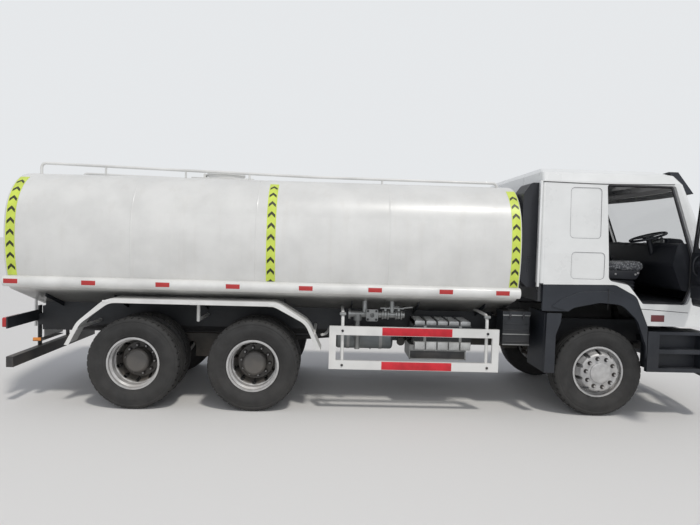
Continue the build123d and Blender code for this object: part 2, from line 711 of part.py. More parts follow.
def leaf_pack(half_span, middle_z, end_z, leaves):
    """Gives a stack of curved leaves in the XZ plane, the longest on top, as one prism about X = 0."""
    rise = end_z - middle_z
    radius = (half_span ** 2 + rise ** 2) / (2 * abs(rise))
    up = 1 if rise > 0 else -1
    centre_z = middle_z + up * radius
    pack = None
    for index in range(leaves):
        span = half_span * (1 if index == 0 else 0.84 - 0.68 * (index - 1) / (leaves - 1))
        top_r = radius + up * index * LEAF_THICKNESS
        low_r = radius + up * (index + 1) * LEAF_THICKNESS
        angle = math.asin(span / radius)
        corners = []
        for arc_radius in (top_r, low_r):
            x = arc_radius * math.sin(angle)
            z = centre_z - up * arc_radius * math.cos(angle)
            corners.append(((-x, z), (0, centre_z - up * arc_radius), (x, z)))
        (a, b, c), (d, e, f) = corners
        face = make_face([ThreePointArc(a, b, c), Line(c, f), ThreePointArc(f, e, d), Line(d, a)])
        pack = face if pack is None else pack + face
    return pack


def springs():
    """Gives the front springs with their hangers and the bogie springs with their trunnions."""
    y0, y1 = FRONT_SPRING_Y - SPRING_WIDTH / 2, FRONT_SPRING_Y + SPRING_WIDTH / 2
    leaves = leaf_pack(FRONT_SPRING_HALF, FRONT_SPRING_MID_Z, FRONT_SPRING_END_Z, FRONT_LEAVES)
    front = side_prism(leaves, y0, y1)
    for x in (-FRONT_SPRING_HALF, FRONT_SPRING_HALF):
        front += block(x - 45, x + 45, y0, y1, FRONT_SPRING_END_Z - 40, RAIL_BOTTOM)
    y0, y1 = RAIL_OUTER_Y + 10, BOGIE_SPRING_Y + SPRING_WIDTH / 2
    half = BOGIE_SPACING / 2 + 60
    end_z = BOGIE_SPRING_TOP - 65
    pack = side_prism(leaf_pack(half, BOGIE_SPRING_TOP, end_z, BOGIE_LEAVES), y0, y1)
    bogie = Pos(BOGIE_MID_X, 0, 0) * pack
    trunnion_z = AXLE_Z + 20
    pack_low = BOGIE_SPRING_TOP - BOGIE_LEAVES * LEAF_THICKNESS
    bogie += block(BOGIE_MID_X - 120, BOGIE_MID_X + 120, y0, y1, trunnion_z - 60, pack_low)
    bracket = outline([
        (BOGIE_MID_X - 230, RAIL_BOTTOM, 0), (BOGIE_MID_X + 230, RAIL_BOTTOM, 0),
        (BOGIE_MID_X + 80, trunnion_z - 75, 30), (BOGIE_MID_X - 80, trunnion_z - 75, 30),
    ])
    bogie += side_prism(bracket, RAIL_OUTER_Y - 60, RAIL_OUTER_Y)
    bogie += rod((BOGIE_MID_X, RAIL_OUTER_Y, trunnion_z), (BOGIE_MID_X, y0, trunnion_z), 50)
    cross = rod((BOGIE_MID_X, 60 - RAIL_OUTER_Y, trunnion_z), (BOGIE_MID_X, RAIL_OUTER_Y - 60, trunnion_z), 50)
    return both_sides(front) + solids_of(bogie + other_side(bogie) + cross)


def rear_axle(x):
    """Gives one driven axle: tube, final drive, spindles and the pads that carry the springs."""
    axle = rod((x, -AXLE_TUBE_HALF, AXLE_Z), (x, AXLE_TUBE_HALF, AXLE_Z), AXLE_TUBE_RADIUS)
    end = REAR_HUB_Y + 85
    axle += rod((x, -end, AXLE_Z), (x, end, AXLE_Z), SPINDLE_RADIUS)
    axle += Pos(x, 0, AXLE_Z) * Sphere(DIFF_RADIUS)
    axle += rod((x - DIFF_RADIUS - 40, 0, SHAFT_Z), (x + DIFF_RADIUS + 90, 0, SHAFT_Z), 62)
    offset = abs(x - BOGIE_MID_X)
    rise = 65.0
    half = BOGIE_SPACING / 2 + 60
    radius = (half ** 2 + rise ** 2) / (2 * rise)
    leaf_low = BOGIE_SPRING_TOP - radius + math.sqrt((radius - LEAF_THICKNESS) ** 2 - (offset + 40) ** 2)
    for side in (1, -1):
        y0, y1 = side * (RAIL_OUTER_Y + 10), side * (BOGIE_SPRING_Y + SPRING_WIDTH / 2)
        axle += block(x - 40, x + 40, y0, y1, AXLE_Z, leaf_low - SEAL_GAP)
        plate = rod((x, side * (REAR_HUB_Y + REAR_DRUM_BACK - 14), AXLE_Z),
                    (x, side * (REAR_HUB_Y + REAR_DRUM_BACK - 6), AXLE_Z), DRUM_RADIUS - 10)
        axle += plate
    return axle


def drive_shafts():
    """Gives the shafts from the gearbox to the first axle and on to the second."""
    z = SHAFT_Z
    first, second = REAR_AXLE_XS
    front_end = first + DIFF_RADIUS + 90
    long_shaft = rod((GEARBOX_REAR_X - 50, 0, GEARBOX_Z), (front_end + 50, 0, z), SHAFT_RADIUS)
    long_shaft += rod((GEARBOX_REAR_X, 0, GEARBOX_Z), (GEARBOX_REAR_X - 80, 0, GEARBOX_Z), SHAFT_RADIUS + 12)
    long_shaft += rod((front_end, 0, z), (front_end + 80, 0, z), SHAFT_RADIUS + 12)
    return [
        long_shaft,
        rod((first - DIFF_RADIUS - 40, 0, z), (second + DIFF_RADIUS + 90, 0, z), SHAFT_RADIUS),
    ]


def engine():
    """Gives the engine as one block with its sump, bell housing and gearbox, and the radiator."""
    half = ENGINE_HALF_WIDTH
    shape = block(ENGINE_REAR_X, ENGINE_FRONT_X, -half, half, RAIL_BOTTOM, ENGINE_TOP)
    shape += block(ENGINE_REAR_X, ENGINE_FRONT_X - 250, -half + 120, half - 120, SUMP_Z, RAIL_BOTTOM)
    mid_z = GEARBOX_Z
    gear = GEARBOX_HALF_WIDTH
    shape += block(ENGINE_REAR_X - 180, ENGINE_REAR_X, -half + 20, half - 20, mid_z - 220, mid_z + 250)
    shape += block(GEARBOX_REAR_X, ENGINE_REAR_X - 180, -gear, gear, mid_z - 200, mid_z + 170)
    mount = block(-150, 150, half, RAIL_OUTER_Y - RAIL_WALL, RAIL_TOP - 120, RAIL_TOP - 60)
    shape += mount + other_side(mount)
    radiator = block(900, 1040, -330, 330, RAIL_BOTTOM + 20, ENGINE_TOP + 5)
    support = block(930, 1000, 330, RAIL_OUTER_Y - RAIL_WALL, RAIL_BOTTOM + 40, RAIL_BOTTOM + 80)
    radiator += support + other_side(support)
    fan = rod((ENGINE_FRONT_X, 0, 980), (ENGINE_FRONT_X + 90, 0, 980), 60)
    fan += rod((ENGINE_FRONT_X + 90, 0, 980), (ENGINE_FRONT_X + 150, 0, 980), 270)
    return [shape + fan, radiator]


# Bumper, lamps and steps

def bumper_outline(inset):
    """Gives the bumper's plan, shrunk all round by the inset."""
    half = STEP_OUTER_Y - inset
    corner = BUMPER_CORNER_X - inset
    nose = BUMPER_CORNER_X + BUMPER_BULGE - inset
    rear = BUMPER_REAR_X
    face = make_face([
        Line((rear, -half), (corner, -half)),
        ThreePointArc((corner, -half), (nose, 0), (corner, half)),
        Line((corner, half), (rear, half)),
        Line((rear, half), (rear, -half)),
    ])
    for side in (1, -1):
        vertex = face.vertices().sort_by_distance((corner, side * half, 0))[0]
        face = fillet(vertex, BUMPER_CORNER_RADIUS - inset)
    return face


def bumper_body(inset, low, high):
    """Gives the bumper's plan as a prism between two heights."""
    return Pos(0, 0, low) * extrude(bumper_outline(inset), high - low)


def bumper():
    """Gives the bumper's skin with a top flange, an intake slot, lamp openings and its brackets."""
    skin = bumper_body(0, BUMPER_LOW, BUMPER_TOP)
    skin -= bumper_body(BUMPER_SKIN, BUMPER_LOW - 1, BUMPER_TOP - BUMPER_SKIN)
    skin -= bumper_body(BUMPER_FLANGE, BUMPER_LOW, BUMPER_TOP + 1)
    nose = BUMPER_CORNER_X + BUMPER_BULGE
    lamp = cross_prism(outline(LAMP_OUTLINE), BUMPER_REAR_X, nose + 1)
    skin -= lamp + other_side(lamp)
    skin -= cross_prism(outline(BUMPER_INTAKE), HORN_FRONT_X, nose + 1)
    arms = block(HORN_FRONT_X, nose, RAIL_INNER_Y, RAIL_OUTER_Y, RAIL_BOTTOM, HORN_TOP)
    arms &= bumper_body(BUMPER_SKIN, RAIL_BOTTOM, HORN_TOP)
    skin += arms + other_side(arms)
    return skin


def headlamps():
    """Gives the two lamp units that fill the bumper's openings."""
    shell = bumper_body(0, BUMPER_LOW, BUMPER_TOP) - bumper_body(LAMP_DEPTH, BUMPER_LOW, BUMPER_TOP)
    lamp = shell & cross_prism(grown(LAMP_OUTLINE, -SEAL_GAP), BUMPER_REAR_X + LAMP_DEPTH, HORN_FRONT_X + 200)
    return both_sides(lamp)


def steps():
    """Gives the step boxes in front of the front wheels, with two treads each and a lip beside the tyre."""
    x0, x1 = STEP_X
    z0, z1 = STEP_Z
    box = block(x0, x1, STEP_INNER_Y, STEP_OUTER_Y, z0, z1)
    tread_out = STEP_OUTER_Y - STEP_TREAD_DEPTH
    for low, high in ((z0 + 45, z0 + 215), (z0 + 265, z1 - 35)):
        box -= block(x0 + 40, x1 - 60, tread_out, STEP_OUTER_Y + 1, low, high)
    box -= block(x0 + 25, x1 - 25, STEP_INNER_Y - 1, tread_out - 20, z0 + 25, z1 - 25)
    box += block(STEP_LIP_X, x0, STEP_OUTER_Y - 60, STEP_OUTER_Y, z0, z1)
    arm = block(x0 + 200, x0 + 300, RAIL_OUTER_Y, tread_out - 20, RAIL_BOTTOM + 40, RAIL_BOTTOM + 120)
    return both_sides(box + arm)


def wheel_flaps():
    """Gives the flaps behind the front wheels, each with a side lip and a stay to the frame."""
    y0, y1 = FLAP_Y
    shape = side_prism(outline(FLAP_LIP_OUTLINE), y1, FLAP_LIP_Y)
    shape += block(*FLAP_X, y0, y1, *FLAP_Z)
    shape += block(FLAP_X[0] + 10, FLAP_X[1] - 10, RAIL_OUTER_Y, y0, RAIL_TOP - 80, RAIL_TOP - 20)
    return both_sides(shape)


# Cab

def cab_outline(row, inset):
    """Gives the cab's plan at one section, shrunk all round by the inset."""
    z, half, rear, corner, bulge = row
    radius = (half ** 2 + bulge ** 2) / (2 * bulge)
    centre = corner + bulge - radius
    half_in, arc, x0 = half - inset, radius - inset, rear + inset
    x1 = centre + math.sqrt(arc ** 2 - half_in ** 2)
    face = make_face([
        Line((x0, -half_in), (x1, -half_in)),
        ThreePointArc((x1, -half_in), (centre + arc, 0), (x1, half_in)),
        Line((x1, half_in), (x0, half_in)),
        Line((x0, half_in), (x0, -half_in)),
    ])
    for side in (1, -1):
        vertex = face.vertices().sort_by_distance((x1, side * half_in, 0))[0]
        face = fillet(vertex, CAB_CORNER - inset)
        if inset < CAB_REAR_CORNER:
            vertex = face.vertices().sort_by_distance((x0, side * half_in, 0))[0]
            face = fillet(vertex, CAB_REAR_CORNER - inset)
    return face


def cab_body(inset):
    """Gives the cab's closed outer form, shrunk by the inset and open-ended below where it is shrunk."""
    sections = []
    for index, row in enumerate(CAB_SECTIONS):
        z = row[0]
        if row[0] > CAB_GUTTER:
            z -= inset
        if index == 0 and inset > 0:
            z -= 10
        sections.append(Pos(0, 0, z) * cab_outline(row, inset))
    return loft(sections, ruled=True)


def grown(rows, gap):
    """Gives an outline's face, grown all round by the gap, or shrunk where the gap is negative."""
    return offset(outline(rows), gap)


def cab_shell_parts():
    """Splits the cab's shell where the real panels meet and gives each panel by its node's name."""
    inner = cab_body(CAB_WALL)
    shell = cab_body(0) - inner
    rear = CAB_REAR_X + CAB_WALL
    behind = CAB_REAR_X - 5
    near, far, wide, high = 600.0, 1600.0, 1300.0, 3000.0
    back = shell & block(behind, rear, -wide, wide, CAB_FLOOR_Z, CAB_GUTTER)
    notch_y = CAB_HALF_WIDTH - CAB_WALL
    for side in (1, -1):
        back -= block(behind, rear, side * notch_y, side * wide, CAB_FLOOR_Z - 1, CAB_SKIRT_Z)
    side_rows = [(rear, CAB_GUTTER, 0)] + [(x, z, 0) for x, z in reversed(PILLAR_LINE)]
    side_rows += list(reversed(SKIRT_EDGE))
    side = shell & side_prism(outline(side_rows), near, wide)
    side -= side_prism(outline(DOOR_OPENING), near, wide)
    sunk = cab_body(PANEL_RECESS)
    for rows in PRESSED_PANELS:
        side -= side_prism(outline(rows), near, wide) - sunk
    front_rows = [(x, z, 0) for x, z in PILLAR_LINE] + [(far, CAB_GUTTER, 0), (far, CAB_BOTTOM, 0)]
    front = shell & side_prism(outline(front_rows), -wide, wide)
    front -= cross_prism(outline(WINDSCREEN_OPENING), near, far)
    roof = shell & block(behind, far, -wide, wide, CAB_GUTTER, high)
    glass = cab_body(WINDSCREEN_DEPTH) - cab_body(WINDSCREEN_DEPTH + GLASS_THICKNESS)
    glass &= cross_prism(grown(WINDSCREEN_OPENING, -SEAL_GAP), near, far)
    door = shell & side_prism(grown(DOOR_OPENING, -DOOR_GAP), near, wide)
    door -= side_prism(outline(DOOR_WINDOW), near, wide)
    pivot_x = DOOR_FRONT_X - DOOR_GAP / 2
    pivot_y = CAB_HALF_WIDTH
    barrel = DOOR_GAP / 2 - SEAL_GAP
    for z in HINGE_ZS:
        top = z + HINGE_LENGTH
        door += rod((pivot_x, pivot_y, z), (pivot_x, pivot_y, top), barrel)
        door += block(pivot_x - DOOR_GAP, pivot_x, pivot_y - barrel, pivot_y, z, top)
    door_glass = cab_body(DOOR_GLASS_DEPTH) - cab_body(DOOR_GLASS_DEPTH + GLASS_THICKNESS)
    door_glass &= side_prism(grown(DOOR_WINDOW, -SEAL_GAP), near, wide)
    return {
        "cab_back": back, "cab_side_left": side, "cab_side_right": other_side(side), "cab_front": front,
        "cab_roof": roof, "windscreen": glass, "door": door, "door_glass": door_glass,
    }, inner


def hung_door(shape):
    """Turns a left door's shape open about its hinge line, for the door that stands open."""
    pivot_x, pivot_y = DOOR_FRONT_X - DOOR_GAP / 2, CAB_HALF_WIDTH
    return Pos(pivot_x, pivot_y, 0) * Rot(0, 0, -DOOR_OPEN_ANGLE) * Pos(-pivot_x, -pivot_y, 0) * shape


def mirror_head():
    """Gives the left door's mirror housing on its two arms."""
    housing = fillet(block(*MIRROR_X, *MIRROR_Y, *MIRROR_Z).edges().filter_by(Axis.X), 30)
    head_x = sum(MIRROR_X) / 2
    for x, z in MIRROR_ARM_FEET:
        housing += rod((x, CAB_HALF_WIDTH - CAB_WALL, z), (head_x, MIRROR_Y[0] + 20, z), MIRROR_ARM_RADIUS)
    return housing - cab_body(0)


def cab_floor(inner):
    """Gives the floor pan with two long beams below it and the lugs that turn on the tilt pins."""
    pan = inner & block(CAB_REAR_X, 1600, -1300, 1300, CAB_FLOOR_Z, CAB_FLOOR_Z + CAB_FLOOR_THICKNESS)
    y0, y1 = TILT_LUG_Y
    beam_low = ENGINE_TOP + 20
    boss = TILT_BOSS_RADIUS
    bore = TILT_PIN_RADIUS + RUNNING_CLEARANCE
    for side in (1, -1):
        near, far = side * y0, side * y1
        pan += block(CAB_REAR_X + CAB_WALL, TILT_X, near, far, beam_low, CAB_FLOOR_Z)
        pan += block(TILT_X - boss, TILT_X + boss, near, far, TILT_Z, CAB_FLOOR_Z)
        pan += rod((TILT_X, near, TILT_Z), (TILT_X, far, TILT_Z), boss)
        pan -= rod((TILT_X, near - side * 5, TILT_Z), (TILT_X, far + side * 5, TILT_Z), bore)
    return pan


def arches():
    """Gives the plastic wheel arches under the cab's skirt, each with a raised flare round the opening."""
    rear = CAB_REAR_X + CAB_WALL
    lip_foot = (ARCH_FOOT_X + ARCH_LIP, ARCH_FOOT_Z, 0)
    panel = outline(SKIRT_EDGE + ARCH_OPENING + [(rear, ARCH_OPENING[-1][1], 0)])
    flare = outline([lip_foot] + ARCH_OPENING[1:] + ARCH_FLARE_EDGE)
    under = outline(SKIRT_EDGE + [lip_foot, (rear, ARCH_FOOT_Z, 0)])
    inside = CAB_HALF_WIDTH - CAB_WALL
    shape = side_prism(panel, inside, CAB_HALF_WIDTH - 4)
    shape += side_prism(flare, inside, CAB_HALF_WIDTH + ARCH_LIP) & side_prism(under, 1100, 1300)
    return both_sides(shape)


def grille():
    """Gives the slatted panel on the cab's nose, a skin that follows its curve."""
    low_x, high_x = CAB_SILL_FRONT_X, 1700
    panel = (cab_body(-GRILLE_SKIN) - cab_body(0)) & cross_prism(outline(GRILLE_OUTLINE), low_x, high_x)
    sunk = cab_body(-GRILLE_SKIN - 2) - cab_body(-5)
    half = GRILLE_SLOT_HALF
    for index in range(GRILLE_SLOTS):
        low = GRILLE_SLOT_Z + index * GRILLE_SLOT_PITCH
        high = low + GRILLE_SLOT_HEIGHT
        slot = outline([(-half, low, 12), (half, low, 12), (half, high, 12), (-half, high, 12)])
        panel -= cross_prism(slot, low_x, high_x) & sunk
    return panel


def visor_form(trim, low, high, back):
    """Gives the visor as a curved wedge between two heights, trimmed at its front and its ends."""
    faces = []
    (z0, z1), (x0, x1) = VISOR_Z, VISOR_NOSE_X
    half = VISOR_HALF_WIDTH - trim
    for z in (low, high):
        nose = x0 + (x1 - x0) * (z - z0) / (z1 - z0)
        front, rear = nose - trim, nose - back
        faces.append(Pos(0, 0, z) * make_face([
            ThreePointArc((front - VISOR_BULGE, -half), (front, 0), (front - VISOR_BULGE, half)),
            Line((front - VISOR_BULGE, half), (rear - VISOR_BULGE, half)),
            ThreePointArc((rear - VISOR_BULGE, half), (rear, 0), (rear - VISOR_BULGE, -half)),
            Line((rear - VISOR_BULGE, -half), (front - VISOR_BULGE, -half)),
        ]))
    return loft(faces, ruled=True)


def visor():
    """Gives the sun visor over the windscreen, hollow behind and closed at its ends."""
    low, high = VISOR_Z
    shape = visor_form(0, low, high, VISOR_DEPTH)
    shape -= visor_form(VISOR_SHEET, low - 10, high - VISOR_SHEET, VISOR_DEPTH + 20)
    return shape - cab_body(0)


def air_intake():
    """Gives the air intake duct that stands behind the cab on the right."""
    return other_side(side_prism(outline(INTAKE_OUTLINE), *INTAKE_Y))


def seat(y):
    """Gives one seat: base, pan, cushion, backrest and headrest."""
    floor = CAB_FLOOR_Z + CAB_FLOOR_THICKNESS
    shape = None
    for half, rows in SEAT_PIECES:
        face = outline([(x, floor + rise, radius) for x, rise, radius in rows])
        piece = side_prism(face, y - half, y + half)
        shape = piece if shape is None else shape + piece
    return shape


def bunk():
    """Gives the sleeping bunk along the rear wall."""
    rear = CAB_REAR_X + CAB_WALL + SEAL_GAP
    z = CAB_FLOOR_Z + CAB_FLOOR_THICKNESS
    return block(rear, rear + BUNK_DEPTH, -BUNK_HALF_WIDTH, BUNK_HALF_WIDTH, z, z + BUNK_HEIGHT)


def dashboard(inner):
    """Gives the dashboard, seated against the inside of the cab's nose, with a hood before the driver."""
    shape = inner & side_prism(outline(DASH_OUTLINE), -DASH_HALF_WIDTH, DASH_HALF_WIDTH)
    hood = side_prism(outline(HOOD_OUTLINE), STEERING_Y - HOOD_HALF_WIDTH, STEERING_Y + HOOD_HALF_WIDTH)
    return shape + (inner & hood)


def steering_wheel(dash):
    """Gives the steering wheel on its column, in front of the right seat."""
    wheel = rod((0, 0, -STEERING_COLUMN), (0, 0, 0), 32) + rod((0, 0, -20), (0, 0, 15), 65)
    wheel += Torus(STEERING_RADIUS, STEERING_RIM_RADIUS)
    for angle in (0, 120, 240):
        wheel += Rot(0, 0, angle) * block(0, STEERING_RADIUS, -18, 18, -8, 8)
    return Pos(STEERING_X, STEERING_Y, STEERING_Z) * Rot(0, -STEERING_RAKE, 0) * wheel - dash


def save_cab():
    """Writes the cab's nodes, with the left door shut and the right door standing open."""
    panels, inner = cab_shell_parts()
    door, door_glass = panels.pop("door"), panels.pop("door_glass")
    for name, shape in panels.items():
        save(name, shape)
    save("door_left", door)
    save("door_glass_left", door_glass)
    save("mirror_left", mirror_head())
    save("door_right", other_side(hung_door(door)))
    save("door_glass_right", other_side(hung_door(door_glass)))
    save("mirror_right", other_side(hung_door(mirror_head())))
    save("cab_floor", cab_floor(inner))
    save("arches", arches())
    save("grille", grille())
    save("visor", visor())
    save("air_intake", air_intake())
    save("seats", [seat(SEAT_Y), seat(-SEAT_Y), bunk()])
    dash = dashboard(inner)
    save("dashboard", dash)
    save("steering_wheel", steering_wheel(dash))


# Tank

def tank_section(x, inset):
    """Gives the tank's section at one place, shrunk all round by the inset."""
    half, far, high = TANK_HALF_WIDTH, TANK_HALF_WIDTH + 100, TANK_TOP + 100
    slope = math.tan(math.radians(BELLY_SLOPE))
    flat = BELLY_FLAT_HALF - inset * math.tan(math.radians(BELLY_SLOPE / 2))
    low = TANK_BOTTOM + inset
    wing_z = low + (far - flat) * slope
    belly = [(-flat, low), (flat, low), (far, wing_z), (far, high), (-far, high), (-far, wing_z)]
    face = make_face(Polyline(*belly, close=True))
    face &= Pos(0, TANK_TOP - TANK_CROWN_RADIUS) * Circle(TANK_CROWN_RADIUS - inset)
    for side in (1, -1):
        face &= Pos(side * (half - TANK_SIDE_RADIUS), TANK_WIDEST_Z) * Circle(TANK_SIDE_RADIUS - inset)
    low_radius = max(TANK_LOW_RADIUS - inset, TANK_LOW_RADIUS_LEAST)
    corners = ((TANK_TOP, TANK_SHOULDER_RADIUS - inset), (wing_z, low_radius))
    for z, radius in corners:
        for side in (1, -1):
            vertex = face.vertices().sort_by_distance((side * half, z, 0))[0]
            face = fillet(vertex, radius)
    return Plane(origin=(x, 0, 0), x_dir=(0, 1, 0), z_dir=(1, 0, 0)) * face


def tank_prism(x0, x1, inset):
    """Gives a straight length of the tank's section."""
    return extrude(tank_section(x0, inset), x1 - x0)


def tank_shell():
    """Gives the tank with rolled bands and dished heads."""
    x0, x1 = TANK_REAR_X, TANK_FRONT_X
    shape = tank_prism(x0 + HEAD_KNUCKLE, x1 - HEAD_KNUCKLE, 0)
    for x, out in ((x0, -1), (x1, 1)):
        base = x - out * HEAD_KNUCKLE
        band_end = base - out * BAND_WIDTH
        shape += loft([tank_section(base, 0), tank_section(x, HEAD_KNUCKLE_DROP)], ruled=True)
        shape += tank_prism(min(base, band_end), max(base, band_end), -BAND_THICKNESS)
        deep = x - out * HEAD_DEPTH
        shape -= loft([tank_section(x, HEAD_RIM), tank_section(deep, HEAD_RIM + HEAD_TAPER)], ruled=True)
    return shape


def crown_z(y):
    """Gives the height of the tank's crown at a distance from the middle."""
    return TANK_TOP - TANK_CROWN_RADIUS + math.sqrt(TANK_CROWN_RADIUS ** 2 - y ** 2)


def belly_cut():
    """Gives the tank's body, a little longer, to cut away what carries it."""
    return tank_prism(TANK_REAR_X - 50, TANK_FRONT_X + 50, 0)


def tank_cradle():
    """Gives the long bearers on the frame and the saddle plates that carry the tank's belly."""
    x0, x1 = TANK_REAR_X + BEARER_INSET, TANK_FRONT_X - BEARER_INSET
    bearer = block(x0, x1, RAIL_INNER_Y, RAIL_OUTER_Y, RAIL_TOP, RAIL_TOP + BEARER_HEIGHT)
    shape = bearer + other_side(bearer)
    half = SADDLE_THICKNESS / 2
    wing = SADDLE_HALF_WIDTH
    low, high = RAIL_TOP + SADDLE_WING_LOW, RAIL_TOP + SADDLE_WING_HIGH
    saddle = outline([
        (-wing, high, 0), (-wing, low, 0), (-RAIL_OUTER_Y, RAIL_TOP, 0),
        (RAIL_OUTER_Y, RAIL_TOP, 0), (wing, low, 0), (wing, high, 0),
    ])
    for x in SADDLE_XS:
        shape += cross_prism(saddle, x - half, x + half)
    return shape - belly_cut()


def side_rails():
    """Gives the rounded rails along the tank's sides, fitted against the tank."""
    low, high = SIDE_RAIL_LOW, SIDE_RAIL_HIGH
    radius = (high - low) / 2
    centre = (SIDE_RAIL_OUTER_Y - radius, (high + low) / 2)
    x0, x1 = TANK_REAR_X, TANK_FRONT_X
    rail = rod((x0, *centre), (x1, *centre), radius)
    rail += block(x0, x1, SIDE_RAIL_INNER_Y, centre[0], low, high)
    return both_sides(rail - tank_shell())


def handrails():
    """Gives the two long rails on the tank with their posts, and the ladder on the rear head."""
    y, radius = HANDRAIL_Y, HANDRAIL_RADIUS
    foot = crown_z(y) - HANDRAIL_ROOT
    line = [(x, TANK_TOP + rise) for x, rise in HANDRAIL_LINE]
    front_x, rear_x = line[0][0], line[-1][0]
    rows = [(front_x, y, foot)] + [(x, y, z) for x, z in line] + [(rear_x, y, foot)]
    rail = pipe(rows, radius, HANDRAIL_BEND)
    for x in (front_x, rear_x):
        rail -= tank_prism(x - 40, x + 40, 0)
    post = rod((0, y, foot), (0, y, TANK_TOP), radius - 5) - tank_prism(-40, 40, 0)
    for x in HANDRAIL_POST_XS:
        rail += Pos(x, 0, 0) * post
        rail += rod((x, y, TANK_TOP), (x, y, rail_height(x)), radius - 5)
    return rail + other_side(rail) + ladder()


def rail_height(x):
    """Gives the height of the long rail's axis at one place."""
    for (x0, rise0), (x1, rise1) in zip(HANDRAIL_LINE, HANDRAIL_LINE[1:]):
        if x1 <= x <= x0:
            return TANK_TOP + rise0 + (rise1 - rise0) * (x - x0) / (x1 - x0)
    return TANK_TOP


def ladder():
    """Gives the ladder on the tank's rear head, stayed to the rear bar's plates."""
    x = TANK_REAR_X - LADDER_OUT
    y = LADDER_Y
    stile = pipe([
        (TANK_REAR_X + HEAD_DEPTH + 10, y, LADDER_TOP), (x, y, LADDER_TOP), (x, y, RAIL_BOTTOM + 30),
    ], LADDER_RADIUS, HANDRAIL_BEND) - tank_shell()
    stay_y, stay_z = y + 15, RAIL_TOP - 150
    stile += block(x, FRAME_REAR_X - 60, stay_y - 12, stay_y + 12, stay_z - 12, stay_z + 12)
    shape = stile + other_side(stile)
    for index in range(LADDER_RUNGS):
        z = RAIL_BOTTOM + 90 + index * LADDER_PITCH
        shape += rod((x, -y, z), (x, y, z), LADDER_RADIUS - 5)
    return shape


def manhole_neck():
    """Gives the hatch plate on the tank's crown with the manhole's neck and the lid's hinge ears."""
    top = TANK_TOP + MANHOLE_RISE
    half = HATCH_PLATE_HALF
    plate = block(MANHOLE_X - half, MANHOLE_X + half, -300, 300, TANK_TOP - 40, TANK_TOP + 12)
    neck = rod((MANHOLE_X, 0, TANK_TOP - 30), (MANHOLE_X, 0, top), MANHOLE_RADIUS - 15)
    neck -= rod((MANHOLE_X, 0, TANK_TOP + 12), (MANHOLE_X, 0, top + 5), MANHOLE_RADIUS - 35)
    shape = plate + neck - tank_prism(TANK_REAR_X, TANK_FRONT_X, 0)
    hinge_x = MANHOLE_X - MANHOLE_RADIUS - 25
    hinge_z = top + LID_THICKNESS / 2
    for side in (1, -1):
        ear = block(hinge_x - 15, hinge_x + 15, side * 40, side * 55, TANK_TOP + 10, hinge_z)
        ear += rod((hinge_x, side * 40, hinge_z), (hinge_x, side * 55, hinge_z), 15)
        shape += ear
    return shape + rod((hinge_x, -55, hinge_z), (hinge_x, 55, hinge_z), 8)


def manhole_lid():
    """Gives the manhole's lid with its hinge tongue and a clamp bar."""
    low = TANK_TOP + MANHOLE_RISE + SEAL_GAP
    high = low + LID_THICKNESS
    hinge_x = MANHOLE_X - MANHOLE_RADIUS - 25
    hinge_z = TANK_TOP + MANHOLE_RISE + LID_THICKNESS / 2
    shape = rod((MANHOLE_X, 0, low), (MANHOLE_X, 0, high), MANHOLE_RADIUS)
    shape += rod((MANHOLE_X, 0, high), (MANHOLE_X, 0, high + 18), MANHOLE_RADIUS * 0.45)
    shape += block(hinge_x, MANHOLE_X, -32, 32, hinge_z - 8, hinge_z + 8)
    shape += rod((hinge_x, -32, hinge_z), (hinge_x, 32, hinge_z), 16)
    shape -= rod((hinge_x, -60, hinge_z), (hinge_x, 60, hinge_z), 8 + RUNNING_CLEARANCE)
    return shape


# Guards and equipment

def fender_face(inset):
    """Gives the area below the rear mudguard's line, shrunk by the inset."""
    rows = [(FENDER_REAR_X + inset, FENDER_LOW, 0)]
    middle = (FENDER_REAR_X + FENDER_FRONT_X) / 2
    for x, z, radius in FENDER_LINE[1:-1]:
        shift = inset if x < middle else -inset
        rows.append((x + shift * 0.75, z - inset * (1 if z == FENDER_TOP else 0.35), radius - inset))
    rows.append((FENDER_FRONT_X - inset, FENDER_LOW, 0))
    return outline(rows)


def mudguards():
    """Gives the sheet mudguards over the rear wheels with their rolled outer lip and their stays."""
    sheet = side_prism(fender_face(0) - fender_face(FENDER_SHEET), GUARD_FENDER_INNER_Y, GUARD_FENDER_OUTER_Y)
    lip = side_prism(fender_face(0) - fender_face(FENDER_LIP), GUARD_FENDER_OUTER_Y - 12, GUARD_FENDER_OUTER_Y)
    shape = sheet + lip
    radius = FENDER_STAY_RADIUS
    for x in FENDER_STAY_XS:
        end_y = GUARD_FENDER_OUTER_Y - 100
        shape += rod((x, RAIL_OUTER_Y, FENDER_STAY_Z), (x, end_y, FENDER_STAY_Z), radius)
    post_y, arm_z = GUARD_FENDER_INNER_Y + 60, RAIL_TOP - 60
    shape += rod((BOGIE_MID_X, RAIL_OUTER_Y, arm_z), (BOGIE_MID_X, post_y, arm_z), radius)
    shape += rod((BOGIE_MID_X, post_y, arm_z), (BOGIE_MID_X, post_y, FENDER_TOP - FENDER_SHEET), radius)
    shape += Pos(BOGIE_MID_X, post_y, arm_z) * Sphere(radius)
    return both_sides(shape)


